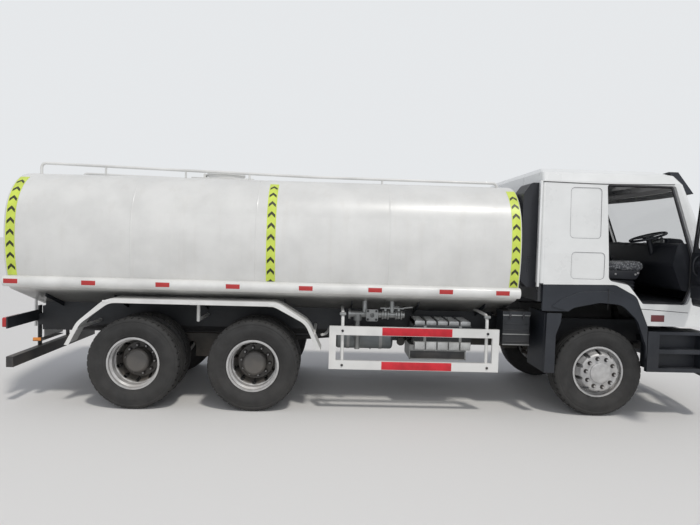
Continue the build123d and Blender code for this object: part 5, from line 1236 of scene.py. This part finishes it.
@dataclass
class Interior:
    """The seats with their padded covers, the bunk's mattress and the driver's place."""

    floor: float = 1.365
    seat_y: float = 0.620
    cushion: Rows = ((0.150, 0.350, 0.030), (0.640, 0.350, 0.045), (0.640, 0.455, 0.045),
                     (0.150, 0.430, 0.030))
    backrest: Rows = ((0.092, 0.400, 0.030), (0.238, 0.400, 0.050), (0.134, 0.990, 0.045),
                      (0.042, 0.990, 0.035))
    headrest: Rows = ((0.036, 1.000, 0.030), (0.124, 1.000, 0.030), (0.116, 1.168, 0.035),
                      (0.040, 1.168, 0.030))

    def padded(self, piece: Piece, voxel: float, cap: float) -> Piece:
        """Swells a closed form as a stuffed cover swells, by a cloth simulation.

        Args:
            piece: The closed form, a little smaller than the finished pad.
            voxel: The size of its new mesh.
            cap: How far a point may move.

        Returns:
            The pad.
        """
        Bench.modify(piece, "REMESH", mode="VOXEL", voxel_size=voxel)
        rest = [vertex.co.copy() for vertex in piece.data.vertices]
        Bench.pick(piece)
        cloth = piece.modifiers.new("cloth", "CLOTH")
        cloth.settings.use_pressure = True
        cloth.settings.uniform_pressure_force = 4.0
        cloth.settings.effector_weights.gravity = 0.0
        cloth.settings.quality = 4
        scene = bpy.context.scene
        for step in range(1, 21):
            scene.frame_set(step)
        bpy.ops.object.modifier_apply(modifier=cloth.name)
        scene.frame_set(1)
        for vertex, before in zip(piece.data.vertices, rest):
            move = vertex.co - before
            if move.length > cap:
                vertex.co = before + move.normalized() * cap
        return piece

    def sewn(self, piece: Piece, seams: Sequence[tuple[int, float, float, float]], facing: Point) -> Piece:
        """Presses sewn lines into the side of a pad that faces one way.

        Args:
            piece: The pad.
            seams: Rows of the axis that a line crosses, its place, half width and depth.
            facing: The way that the side faces.

        Returns:
            The pad.
        """
        side = Vector(facing).normalized()
        mesh = piece.data
        normals = [vertex.normal.copy() for vertex in mesh.vertices]
        for vertex, normal in zip(mesh.vertices, normals):
            share = max(0.0, normal.dot(side))
            press = 0.0
            for axis, place, width, depth in seams:
                press += depth * math.exp(-((vertex.co[axis] - place) / width) ** 2)
            vertex.co -= normal * press * share
        mesh.update()
        return piece

    def profile(self, name: str, rows: Rows, half: float, voxel: float, cap: float) -> Piece:
        """Makes one pad of a seat from its side outline and half its width."""
        outline = [(x, -half, self.floor + z) for x, z in rounded(rows, 4)]
        piece = Bench.prism(name, outline, (0, 2 * half, 0), 0.022)
        return self.padded(piece, voxel, cap)

    def seats(self) -> None:
        """Builds one seat's pads and its clear wrap, and copies them to both places."""
        places = [Matrix.Translation((0, side * self.seat_y, 0)) for side in (1, -1)]
        cushion = self.profile("seat_cushions", self.cushion, 0.232, 0.008, 0.010)
        self.sewn(cushion, [(1, 0.150, 0.008, 0.012), (1, -0.150, 0.008, 0.012), (0, 0.300, 0.007, 0.008),
                            (0, 0.420, 0.007, 0.008), (0, 0.540, 0.007, 0.008)], (0, 0, 1))
        backrest = self.profile("seat_backrests", self.backrest, 0.222, 0.008, 0.010)
        self.sewn(backrest, [(1, 0.140, 0.008, 0.012), (1, -0.140, 0.008, 0.012)]
                  + [(2, self.floor + z, 0.007, 0.008) for z in (0.52, 0.64, 0.76, 0.88)], (1, 0, 0.15))
        headrest = self.profile("seat_headrests", self.headrest, 0.126, 0.007, 0.008)
        self.sewn(headrest, [(1, 0.095, 0.006, 0.007), (1, -0.095, 0.006, 0.007)], (1, 0, 0))
        film = self.cover(cushion)
        for piece in (cushion, backrest, headrest):
            Bench.done(Bench.copies(piece, places), Finish.CLOTH, "cab", "seat_cover", 60.0, ["seats"])
        Bench.done(Bench.copies(film, places), Finish.WRAP, "cab", "", 25.0)

    def cover(self, cushion: Piece) -> Piece:
        """Lays the clear loose wrap over the cushion, in creased folds."""
        piece = cushion.copy()
        piece.data = cushion.data.copy()
        piece.name = piece.data.name = "seat_wraps"
        bpy.context.scene.collection.objects.link(piece)
        rand = random.Random(11)
        folds = [(Vector((rand.uniform(-1, 1), rand.uniform(-1, 1), rand.uniform(-0.6, 0.6))).normalized(),
                  rand.uniform(45, 110), rand.uniform(0, math.tau)) for _ in range(7)]
        for vertex in piece.data.vertices:
            crease = sum(abs(math.sin(vertex.co.dot(way) * pitch + shift))
                         for way, pitch, shift in folds) / len(folds)
            vertex.co += vertex.normal * (0.003 + 0.007 * crease)
        piece.data.update()
        return piece

    def hard_parts(self) -> None:
        """Adds the seats' bases, pans, shells, posts, levers, buckles and bolts."""
        z = self.floor
        parts = [Bench.slab("base", (0.215, -0.185, z + 0.001), (0.555, 0.185, z + 0.235), 0.020, 3),
                 Bench.slab("bellows", (0.235, -0.170, z + 0.04), (0.535, 0.170, z + 0.05), 0.004)]
        pan = [(x, -0.222, z + rise)
               for x, rise in rounded(((0.165, 0.245, 0.03), (0.560, 0.238, 0.05), (0.615, 0.345, 0.02),
                                                             (0.165, 0.345, 0.02)))]
        parts.append(Bench.prism("pan", pan, (0, 0.444, 0), 0.006))
        shell = [(x, -0.215, z + rise)
                 for x, rise in rounded(((0.084, 0.40, 0.02), (0.110, 0.40, 0.01), (0.060, 0.97, 0.01),
                                                               (0.034, 0.97, 0.02)))]
        parts.append(Bench.prism("shell", shell, (0, 0.430, 0), 0.008))
        for rise in (0.07, 0.11, 0.15, 0.19):
            parts.append(Bench.slab("fold", (0.209, -0.191, z + rise), (0.561, 0.191, z + rise + 0.018),
                                    0.007))
        posts = [Bench.tube("post", [(0.082, side * 0.055, z + 0.955), (0.082, side * 0.055, z + 1.02)],
                            0.006, 1, False)
                 for side in (1, -1)]
        lever = Bench.tube("lever",
                           [(0.420, 0.222, z + 0.285), (0.450, 0.236, z + 0.285), (0.560, 0.236, z + 0.300)],
                           0.007)
        buckle = Bench.slab("buckle", (0.205, 0.226, z + 0.42), (0.245, 0.246, z + 0.50), 0.006)
        places = [Matrix.Translation((0, side * self.seat_y, 0)) for side in (1, -1)]
        Bench.done(Bench.copies(Bench.joined("seat_frames", parts + [lever, buckle]), places), Finish.TRIM,
                   "cab", "trim_plastic")
        Bench.done(Bench.copies(Bench.joined("seat_posts", posts), places), Finish.ZINC, "cab")
        spots = [(0.545, -0.2225, z + 0.300), (0.575, -0.2225, z + 0.318), (0.300, -0.2225, z + 0.300)]
        bolts = Bench.bolts("seat_bolts", spots, (0, -1, 0), 0.009)
        Bench.done(Bench.copies(bolts, [places[0] @ MIRRORED, places[1]]), Finish.WHEEL, "cab")

    def bunk(self) -> None:
        """Adds the bunk's box and its mattress."""
        box = Bench.slab("bunk_box", (-0.726, -1.138, self.floor), (-0.262, 1.138, self.floor + 0.300),
                         0.012)
        Bench.done(box, Finish.TRIM, "cab", "trim_plastic")
        form = Bench.slab("bunk_mattress", (-0.712, -1.120, self.floor + 0.303),
                          (-0.262, 1.120, self.floor + 0.402), 0.028, 3)
        self.padded(form, 0.012, 0.010)
        self.sewn(form, [(1, y, 0.010, 0.009) for y in (-0.75, -0.375, 0.0, 0.375, 0.75)], (0, 0, 1))
        Bench.done(form, Finish.CLOTH, "cab", "seat_cover", 60.0)

    def dash(self) -> None:
        """Adds the dash's vents, binnacle, glovebox, console, stalks, dials and the gear lever."""
        rows = []
        for y in (-1.02, -0.86, -0.10, 0.10, 0.70, 0.98):
            rows.append(((0.862, y - 0.060, 1.955), (0.880, y + 0.060, 2.030)))
        dark = [Bench.slabs("vent_frames", rows, 0.006)]
        slats = []
        for y in (-1.02, -0.86, -0.10, 0.10, 0.70, 0.98):
            slats += [((0.856, y - 0.052, z), (0.866, y + 0.052, z + 0.004))
                      for z in (1.966, 1.980, 1.994, 2.008)]
        dark.append(Bench.slabs("vent_slats", slats, 0.001))
        hood = [(x, -0.820, z)
                for x, z in rounded(((0.930, 2.035, 0.01), (0.948, 2.122, 0.03), (1.120, 2.112, 0.05),
                                     (1.160, 2.035, 0.02)))]
        dark.append(Bench.prism("hood", hood, (0, 0.400, 0), 0.010))
        dark.append(Bench.slab("glovebox", (0.836, 0.420, 1.700), (0.868, 0.900, 1.880), 0.010))
        dark.append(Bench.slab("console", (0.560, -0.190, self.floor), (0.840, 0.190, 1.640), 0.030, 3))
        dark.append(Bench.tube("gear_boot",
                               [(0.500, -0.270, self.floor), (0.500, -0.270, self.floor + 0.10)], 0.045, 3,
                               False))
        dark.append(Bench.tube("gear_lever",
                               [(0.500, -0.270, self.floor + 0.08), (0.520, -0.290, self.floor + 0.30),
                                              (0.500, -0.300, self.floor + 0.46)], 0.010))
        dark.append(Bench.spun("gear_knob",
                               [(0.001, 0.050), (0.018, 0.046), (0.026, 0.030), (0.026, 0.015),
                                (0.014, -0.004)],
                               (0.500, -0.300, self.floor + 0.46), 18, (0, 0, 1)))
        for side in (-1, 1):
            dark.append(Bench.tube(f"stalk_{side}",
                                   [(0.850, -0.620 + side * 0.04, 2.080),
                                    (0.842, -0.620 + side * 0.16, 2.100)],
                                   0.009, 1, False))
        Bench.done(Bench.joined("dash_fittings", dark), Finish.TRIM, "cab", "trim_plastic")
        dials = []
        for y, radius in ((-0.700, 0.052), (-0.540, 0.052), (-0.620, 0.026)):
            rim = [(radius, 0.004), (radius + 0.004, 0.006), (radius + 0.007, 0.0)]
            dials.append(Bench.spun("dial", [(0.001, 0.001), (radius, 0.001)] + rim, (0.930, y, 2.075), 28,
                                    (-1, 0, 0)))
        Bench.done(Bench.joined("dials", dials), Finish.ZINC, "cab")

    def build(self) -> None:
        """Builds the cab's inside in order."""
        self.seats()
        self.hard_parts()
        self.bunk()
        self.dash()


@dataclass
class Running:
    """What hangs on the frame: guards, shields, tanks, pipes, hoses and lamps."""

    guard_face: float = 1.225
    guard_low: float = 0.513
    guard_high: float = 1.006
    guard_tube: float = 0.100
    red_x: tuple[float, float] = (-2.557, -1.751)
    hanger_xs: tuple[float, float] = (-3.010, -1.340)
    silencer_x: tuple[float, float] = (-2.150, -1.465)
    outlet_y: float = 0.900
    outlet_z: float = 1.110
    flange_x: float = -2.663

    def mirrored(self, piece: Piece, finish: Finish, slot: str = "", smooth: float = 40.0) -> Piece:
        """Finishes a left-hand piece on the chassis together with its mirror image."""
        return Bench.done(Bench.copies(piece, [Matrix.Identity(4), MIRRORED]), finish, "chassis", slot,
                          smooth)

    def guards(self) -> None:
        """Adds the red bands, the hangers' clamps and the guards' bolts."""
        out = self.guard_face
        bars = ((self.guard_low, self.guard_low + self.guard_tube),
                (self.guard_high - self.guard_tube, self.guard_high))
        bands = [((self.red_x[0], out - 0.003, low + 0.004), (self.red_x[1], out + 0.0012, high - 0.004))
                 for low, high in bars]
        self.mirrored(Bench.slabs("guard_bands", bands, 0.001), Finish.BAND_RED)
        clamps, bolts = [], []
        for x in self.hanger_xs:
            for z in (0.560, 0.955):
                clamps.append(((x - 0.032, 1.150, z - 0.022), (x + 0.032, 1.184, z + 0.022)))
                bolts.append((x, out, z))
            clamps.append(((x - 0.036, 1.140, 1.128), (x + 0.036, 1.186, 1.158)))
        self.mirrored(Bench.slabs("guard_clamps", clamps, 0.004), Finish.ZINC)
        self.mirrored(Bench.bolts("guard_bolts", bolts, (0, 1, 0), 0.011), Finish.BOLT, smooth=30.0)

    def fenders(self) -> None:
        """Adds the fenders' tabs and the ends of their stays."""
        tabs = [((-5.716, 1.236, 1.210), (-5.649, 1.2425, 1.242)),
                ((-3.860, 1.236, 1.210), (-3.793, 1.2425, 1.242)),
                ((-4.735, 1.236, 1.210), (-4.668, 1.2425, 1.242))]
        self.mirrored(Bench.slabs("fender_tabs", tabs, 0.002), Finish.TRIM_WHITE)
        stays = [Bench.tube("stay", [(-6.240, 0.430, 0.820), (-6.240, 0.900, 0.822), (-6.120, 0.960, 0.820)],
                            0.016, 2),
                 Bench.tube("stay", [(-3.170, 0.430, 0.860), (-3.170, 0.900, 0.862), (-3.254, 0.960, 0.860)],
                            0.016, 2)]
        self.mirrored(Bench.joined("fender_stays", stays), Finish.TRIM_WHITE)

    def shields(self) -> None:
        """Adds the silencer's quilted shields, its dark tray's rim and its pipes."""
        x0, x1 = self.silencer_x
        count, parts = 5, []
        pitch = (x1 - x0) / count
        for index in range(count):
            left, right = x0 + index * pitch + 0.008, x0 + (index + 1) * pitch - 0.008
            parts.append(((left, -0.925, 0.990), (right, -0.486, 1.048)))
            parts.append(((left, -0.958, 0.707), (right, -0.926, 0.802)))
            for row in range(4):
                y = -0.905 + 0.105 * row
                parts.append(((left + 0.012, y, 1.044), (right - 0.012, y + 0.075, 1.0535)))
        Bench.done(Bench.slabs("silencer_shields", parts, 0.007), Finish.SHIELD, "chassis", "galvanised")
        sides = [((x0 - 0.004, -0.934, 0.996), (x1 + 0.004, -0.470, 1.000)),
                 ((x0 - 0.002, -0.9345, 0.806), (x1 + 0.002, -0.929, 0.990))]
        Bench.done(Bench.slabs("silencer_skin", sides, 0.002), Finish.CHASSIS, "chassis", "galvanised")
        tray = [((-2.204, -0.936, 0.586), (-1.520, -0.929, 0.598)),
                ((-2.204, -0.936, 0.690), (-1.520, -0.929, 0.700)),
                ((-2.204, -0.936, 0.586), (-2.192, -0.929, 0.700)),
                ((-1.536, -0.936, 0.586), (-1.522, -0.929, 0.700))]
        Bench.done(Bench.slabs("silencer_tray_rim", tray, 0.002), Finish.ZINC, "chassis")
        dark = [((-2.190, -0.9335, 0.600), (-1.538, -0.9295, 0.688))]
        Bench.done(Bench.slabs("silencer_tray_face", dark, 0.001), Finish.CHASSIS, "chassis")
        straps = []
        for x in (x0 + 0.130, x1 - 0.130):
            ring = rounded(((-0.472, 0.756, 0.02), (-0.936, 0.756, 0.02), (-0.936, 1.002, 0.02),
                            (-0.472, 1.002, 0.02)), 3)
            straps.append(Bench.strap("strap", ring + ring[:1], x - 0.016, x + 0.016, 0.004))
        Bench.done(Bench.joined("silencer_straps", straps), Finish.ZINC, "chassis")
        pipe = Bench.tube("exhaust_pipe",
                          [(-1.465, -0.620, 0.870), (-1.300, -0.620, 0.870), (-1.180, -0.560, 0.850),
                                           (-1.020, -0.500, 0.840), (-0.700, -0.480, 0.840)], 0.055, 4)
        tail = Bench.tube("exhaust_tail",
                          [(-2.150, -0.700, 0.830), (-2.230, -0.700, 0.825), (-2.290, -0.760, 0.800),
                                           (-2.300, -0.860, 0.780)], 0.050, 4)
        Bench.done(Bench.joined("exhaust_pipes", [pipe, tail]), Finish.CAST, "chassis")

    def battery(self) -> None:
        """Adds the battery box's pale edges, catches and ribs."""
        lines = [((-1.112, -1.0205, z - 0.006), (-0.786, -1.010, z + 0.006))
                 for z in (1.153, 0.927, 0.795 + 0.008)]
        Bench.done(Bench.slabs("battery_edges", lines, 0.002), Finish.ZINC, "chassis")
        catches = [((x, -1.028, 1.110), (x + 0.026, -1.009, 1.182)) for x in (-1.040, -0.880)]
        Bench.done(Bench.slabs("battery_catches", catches, 0.004), Finish.BOLT, "chassis")
        ribs = [((-1.100, -1.0135, 0.830 + 0.07 * i), (-0.800, -1.0095, 0.842 + 0.07 * i))
                for i in (0, 2, 3)]
        Bench.done(Bench.slabs("battery_ribs", ribs, 0.002), Finish.CHASSIS, "chassis")

    def outlet(self) -> None:
        """Adds the header's bolts, flange studs and lever grips."""
        y, z = -self.outlet_y, self.outlet_z
        studs = []
        for index in range(4):
            angle = math.radians(45 + 90 * index)
            studs.append((self.flange_x + 0.070 * math.cos(angle), -1.001, z + 0.070 * math.sin(angle)))
        Bench.done(Bench.bolts("flange_studs", studs, (0, -1, 0), 0.010), Finish.BOLT, "chassis",
                   smooth=30.0)
        face, parts = [], []
        for x in (-2.500, -2.340):
            for side in (-1, 1):
                for index in range(8):
                    angle = math.tau * index / 8
                    face.append((x + side * 0.041, y + 0.047 * math.cos(angle), z + 0.047 * math.sin(angle)))
            body = [(0.040, -0.023), (0.052, -0.014), (0.054, 0.0), (0.052, 0.014), (0.040, 0.023)]
            parts.append(Bench.spun("valve_body", body, (x, y, z), 24, (1, 0, 0)))
            parts.append(Bench.spun("valve_neck",
                                    [(0.022, 0.030), (0.026, 0.040), (0.022, 0.058), (0.018, 0.070)],
                                    (x, y, z), 18,
                                    (0, 0, 1)))
            parts.append(Bench.tube("lever_grip",
                                    [(x + 0.050, y, z + 0.080), (x + 0.110, y, z + 0.092),
                                     (x + 0.165, y, z + 0.094)], 0.010))
        Bench.done(Bench.joined("valve_details", parts), Finish.ZINC, "chassis", "galvanised")
        Bench.done(Bench.bolts("valve_bolts", face, (1, 0, 0), 0.006), Finish.BOLT, "chassis", smooth=30.0)

    def tanks(self) -> None:
        """Adds the straps, caps and drains of the fuel tank and the air tanks."""
        ring = rounded(((0.457, 0.547, 0.092), (1.103, 0.547, 0.092), (1.103, 1.048, 0.092),
                        (0.457, 1.048, 0.092)), 5)
        straps = [Bench.strap("strap", ring + ring[:1], x - 0.030, x + 0.030, 0.004)
                  for x in (-2.500, -1.700)]
        rim = [(0.001, 0.006), (0.050, 0.006), (0.058, 0.0), (0.058, -0.018), (0.050, -0.022)]
        cap = Bench.spun("filler_cap", rim, (-1.630, 0.900, 1.092), 28, (0, 0, 1))
        grips = Bench.slabs("cap_grips", [((-1.672, 0.892, 1.096), (-1.588, 0.908, 1.106))], 0.003)
        Bench.done(Bench.joined("fuel_tank_fittings", straps + [cap, grips]), Finish.ZINC, "chassis")
        hoops = []
        for x in (-2.930, -2.530):
            circle = [(-0.620 + 0.1225 * math.cos(math.tau * i / 28),
                       0.770 + 0.1225 * math.sin(math.tau * i / 28)) for i in range(29)]
            hoops.append(Bench.strap("hoop", circle, x - 0.018, x + 0.018, 0.004))
        drains = Bench.bolts("drains", [(x, -0.620, 0.651) for x in (-2.800, -2.650)], (0, 0, -1), 0.010)
        Bench.done(Bench.joined("air_tank_fittings", hoops + [drains]), Finish.ZINC, "chassis")

    def lines(self) -> None:
        """Adds the air lines along the frame and to the axles."""
        runs = []
        for index, z in enumerate((0.790, 0.806, 0.822, 0.838)):
            y = -0.4365 - 0.002 * (index % 2)
            runs.append(Bench.tube("line",
                                   [(-6.30 + 0.1 * index, y, z), (-4.6, y - 0.002, z + 0.004),
                                    (-2.9, y, z - 0.003),
                                            (-1.4, y - 0.003, z + 0.004), (-0.4, y, z)], 0.0065, 1))
        for x in (-4.025, -5.375):
            for side in (-1, 1):
                runs.append(Bench.tube("brake_hose",
                                       [(x + 0.10, side * 0.436, 0.900), (x + 0.14, side * 0.480, 0.860),
                                                      (x + 0.20, side * 0.560, 0.720),
                                                      (x + 0.19, side * 0.600, 0.640)], 0.011, 1))
        Bench.done(Bench.joined("air_lines", runs), Finish.SEAL, "chassis")
        pots = []
        for x in (-4.025, -5.375):
            for side in (-1, 1):
                drum = [(0.001, -0.075), (0.060, -0.075), (0.070, -0.060), (0.070, -0.006), (0.078, -0.004),
                        (0.078, 0.004),
                        (0.070, 0.006), (0.070, 0.050), (0.050, 0.068), (0.001, 0.070)]
                pots.append(Bench.spun("brake_pot", drum, (x + 0.19, side * 0.600, 0.570), 22, (1, 0, 0)))
        Bench.done(Bench.joined("brake_pots", pots), Finish.CAST, "chassis")

    def lamps(self) -> None:
        """Adds the tail lamps' fields, the side lamps and the bare number plate."""
        fields = {Finish.AMBER: (0.772, 0.872), Finish.LAMP_RED: (0.882, 1.012), Finish.LENS: (1.022, 1.118)}
        for finish, (y0, y1) in fields.items():
            cover = Bench.slab(f"tail_fields_{finish.name.lower()}", (-6.8785, y0, 0.902),
                               (-6.872, y1, 0.988), 0.003)
            self.mirrored(cover, finish)
        plate = Bench.slab("rear_plate", (-6.826, -0.260, 0.620), (-6.820, 0.260, 0.740), 0.002)
        Bench.done(plate, Finish.BAND_EDGE, "chassis")
        lights = [Bench.slab("lamp", (x - 0.045, 0.992, 0.722), (x + 0.045, 1.010, 0.760), 0.006, 3)
                  for x in (-6.548,)]
        self.mirrored(Bench.joined("side_lamps", lights), Finish.AMBER)
        arms = [Bench.slab("arm", (-6.600, 0.432, 0.716), (-6.500, 0.998, 0.722), 0.001)]
        self.mirrored(Bench.joined("side_lamp_brackets", arms), Finish.CHASSIS)

    def build(self) -> None:
        """Builds the running gear's fittings in order."""
        self.guards()
        self.fenders()
        self.shields()
        self.battery()
        self.outlet()
        self.tanks()
        self.lines()
        self.lamps()


@dataclass
class Nodes:
    """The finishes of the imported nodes."""

    white: tuple[str, ...] = ("side_rails", "handrails", "manhole_neck", "manhole_lid", "mudguards",
                              "side_guards")
    moulded: tuple[str, ...] = ("arches", "wheel_flaps", "steps", "grille", "visor", "mirror_left",
                                "mirror_right", "bumper")
    inner: tuple[str, ...] = ("dashboard", "steering_wheel", "cab_floor", "air_intake")
    chassis: tuple[str, ...] = ("frame", "tank_cradle", "rear_bar", "drive_shafts", "battery_box")
    cast: tuple[str, ...] = ("front_axle", "leaf_springs", "rear_axles", "engine", "knuckle_left",
                             "knuckle_right", "tie_rod")
    zinc: tuple[str, ...] = ("silencer", "outlet_pipes")
    alloy: tuple[str, ...] = ("fuel_tank", "air_tanks")
    glass: tuple[str, ...] = ("windscreen", "door_glass_left", "door_glass_right")

    def dress(self) -> None:
        """Gives every node its finish."""
        table = [
            (("cab_side_left",), Finish.CAB_LEFT), (("cab_side_right",), Finish.CAB_RIGHT),
            (("cab_front",), Finish.CAB_FRONT),
            (("cab_back",), Finish.CAB_BACK), (("cab_roof",), Finish.CAB_ROOF),
            (("door_left",), Finish.DOOR_LEFT),
            (("door_right",), Finish.DOOR_RIGHT), (self.white, Finish.TRIM_WHITE),
            (self.moulded, Finish.MOULDED),
            (self.inner, Finish.TRIM), (self.chassis, Finish.CHASSIS), (self.cast, Finish.CAST),
            (self.zinc, Finish.ZINC), (self.alloy, Finish.ALLOY), (self.glass, Finish.GLASS),
            (("headlamps",), Finish.LENS), (("tail_lamps",), Finish.LAMP_RED), (("seats",), Finish.CLOTH),
            (("tank_shell",), Finish.TANK), (("rim_front_left", "rim_front_right"), Finish.WHEEL),
            (("rims_axle2_left", "rims_axle2_right"), Finish.RIM_SECOND),
            (("rims_axle3_left", "rims_axle3_right"), Finish.RIM_THIRD),
            (tuple(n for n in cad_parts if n.startswith("tyre")), Finish.RUBBER),
        ]
        for names, finish in table:
            for name in names:
                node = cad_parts[name]
                node.data.materials.clear()
                node.data.materials.append(finish.material())
                LOG.info("%s has the finish %s", name, finish.value.name)


@dataclass
class Studio:
    """The floor, the light and the camera at the photograph's place."""

    place: Point = (-3.157, -7.8698, 2.0178)
    yaw: float = 0.0314
    pitch: float = -0.0424
    roll: float = 0.0281
    focal_pixels: float = 586.7505
    picture_width: float = 700.0
    floor_size: float = 240.0

    def camera(self) -> None:
        """Sets the camera as the photograph was taken."""
        ahead = Vector((math.sin(self.yaw) * math.cos(self.pitch), math.cos(self.yaw) * math.cos(self.pitch),
                        math.sin(self.pitch)))
        across = Vector((math.cos(self.yaw), -math.sin(self.yaw), 0))
        above = across.cross(ahead)
        side = across * math.cos(self.roll) + above * math.sin(self.roll)
        top = above * math.cos(self.roll) - across * math.sin(self.roll)
        Bench.clear()
        bpy.ops.object.camera_add()
        camera = bpy.context.object
        turn = Matrix((side, top, -ahead)).transposed().to_4x4()
        camera.matrix_world = Matrix.Translation(self.place) @ turn
        camera.data.sensor_width = 36.0
        camera.data.lens = self.focal_pixels * 36.0 / self.picture_width
        camera.data.clip_end = 500.0
        bpy.context.scene.camera = camera

    def floor(self) -> None:
        """Lays the pale floor."""
        Bench.clear()
        bpy.ops.mesh.primitive_plane_add(size=self.floor_size)
        floor = Bench.added("floor")
        sheet = Sheet("floor_pale")
        sheet.set(Base_Color=(0.72, 0.71, 0.69), Roughness=0.9)
        floor.data.materials.append(sheet.material)

    def sky(self) -> None:
        """Sets an even sky, pale where the camera and the gloss see it."""
        world = bpy.data.worlds.new("studio")
        bpy.context.scene.world = world
        world.use_nodes = True
        tree = world.node_tree
        tree.nodes.clear()
        out = tree.nodes.new("ShaderNodeOutputWorld")
        mixer = tree.nodes.new("ShaderNodeMixShader")
        path = tree.nodes.new("ShaderNodeLightPath")
        strongest = tree.nodes.new("ShaderNodeMath")
        strongest.operation = "MAXIMUM"
        glossy = tree.nodes.new("ShaderNodeMath")
        glossy.operation = "MAXIMUM"
        shades = []
        for colour, strength in (((0.86, 0.90, 1.0), 0.50), ((0.90, 0.92, 0.94), 0.88)):
            shade = tree.nodes.new("ShaderNodeBackground")
            shade.inputs["Color"].default_value = (*colour, 1)
            shade.inputs["Strength"].default_value = strength
            shades.append(shade)
        tree.links.new(path.outputs["Is Camera Ray"], glossy.inputs[0])
        tree.links.new(path.outputs["Is Glossy Ray"], glossy.inputs[1])
        tree.links.new(glossy.outputs[0], strongest.inputs[0])
        tree.links.new(path.outputs["Is Transmission Ray"], strongest.inputs[1])
        tree.links.new(strongest.outputs[0], mixer.inputs[0])
        tree.links.new(shades[0].outputs[0], mixer.inputs[1])
        tree.links.new(shades[1].outputs[0], mixer.inputs[2])
        tree.links.new(mixer.outputs[0], out.inputs[0])

    def lamps(self) -> None:
        """Adds a soft sun from above and a wide fill from the camera's side."""
        Bench.clear()
        bpy.ops.object.light_add(type="SUN", rotation=(math.radians(28), math.radians(14), 0))
        sun = bpy.context.object
        sun.data.energy = 1.5
        sun.data.angle = math.radians(6)
        sun.data.color = (1.0, 0.97, 0.92)
        Bench.clear()
        bpy.ops.object.light_add(type="AREA", location=(-3.0, -13.0, 6.0), rotation=(math.radians(66), 0, 0))
        fill = bpy.context.object
        fill.data.energy = 260.0
        fill.data.shape = "RECTANGLE"
        fill.data.size = 12.0
        fill.data.size_y = 5.0

    def build(self) -> None:
        """Sets up the studio."""
        bpy.context.scene.view_settings.view_transform = "Standard"
        self.camera()
        self.floor()
        self.sky()
        self.lamps()


def main() -> None:
    """Builds the studio and the truck's sub-assemblies in order."""
    logging.basicConfig(level=logging.INFO, format="%(name)s: %(message)s")
    random.seed(4)
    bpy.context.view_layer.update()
    Studio().build()
    Nodes().dress()
    assemblies = (Tank(), Wheels(), Cab(), Doors(), Interior(), Running())
    for assembly in assemblies:
        assembly.build()
        LOG.info("%s is built", type(assembly).__name__)


if __name__ == "__main__":
    main()
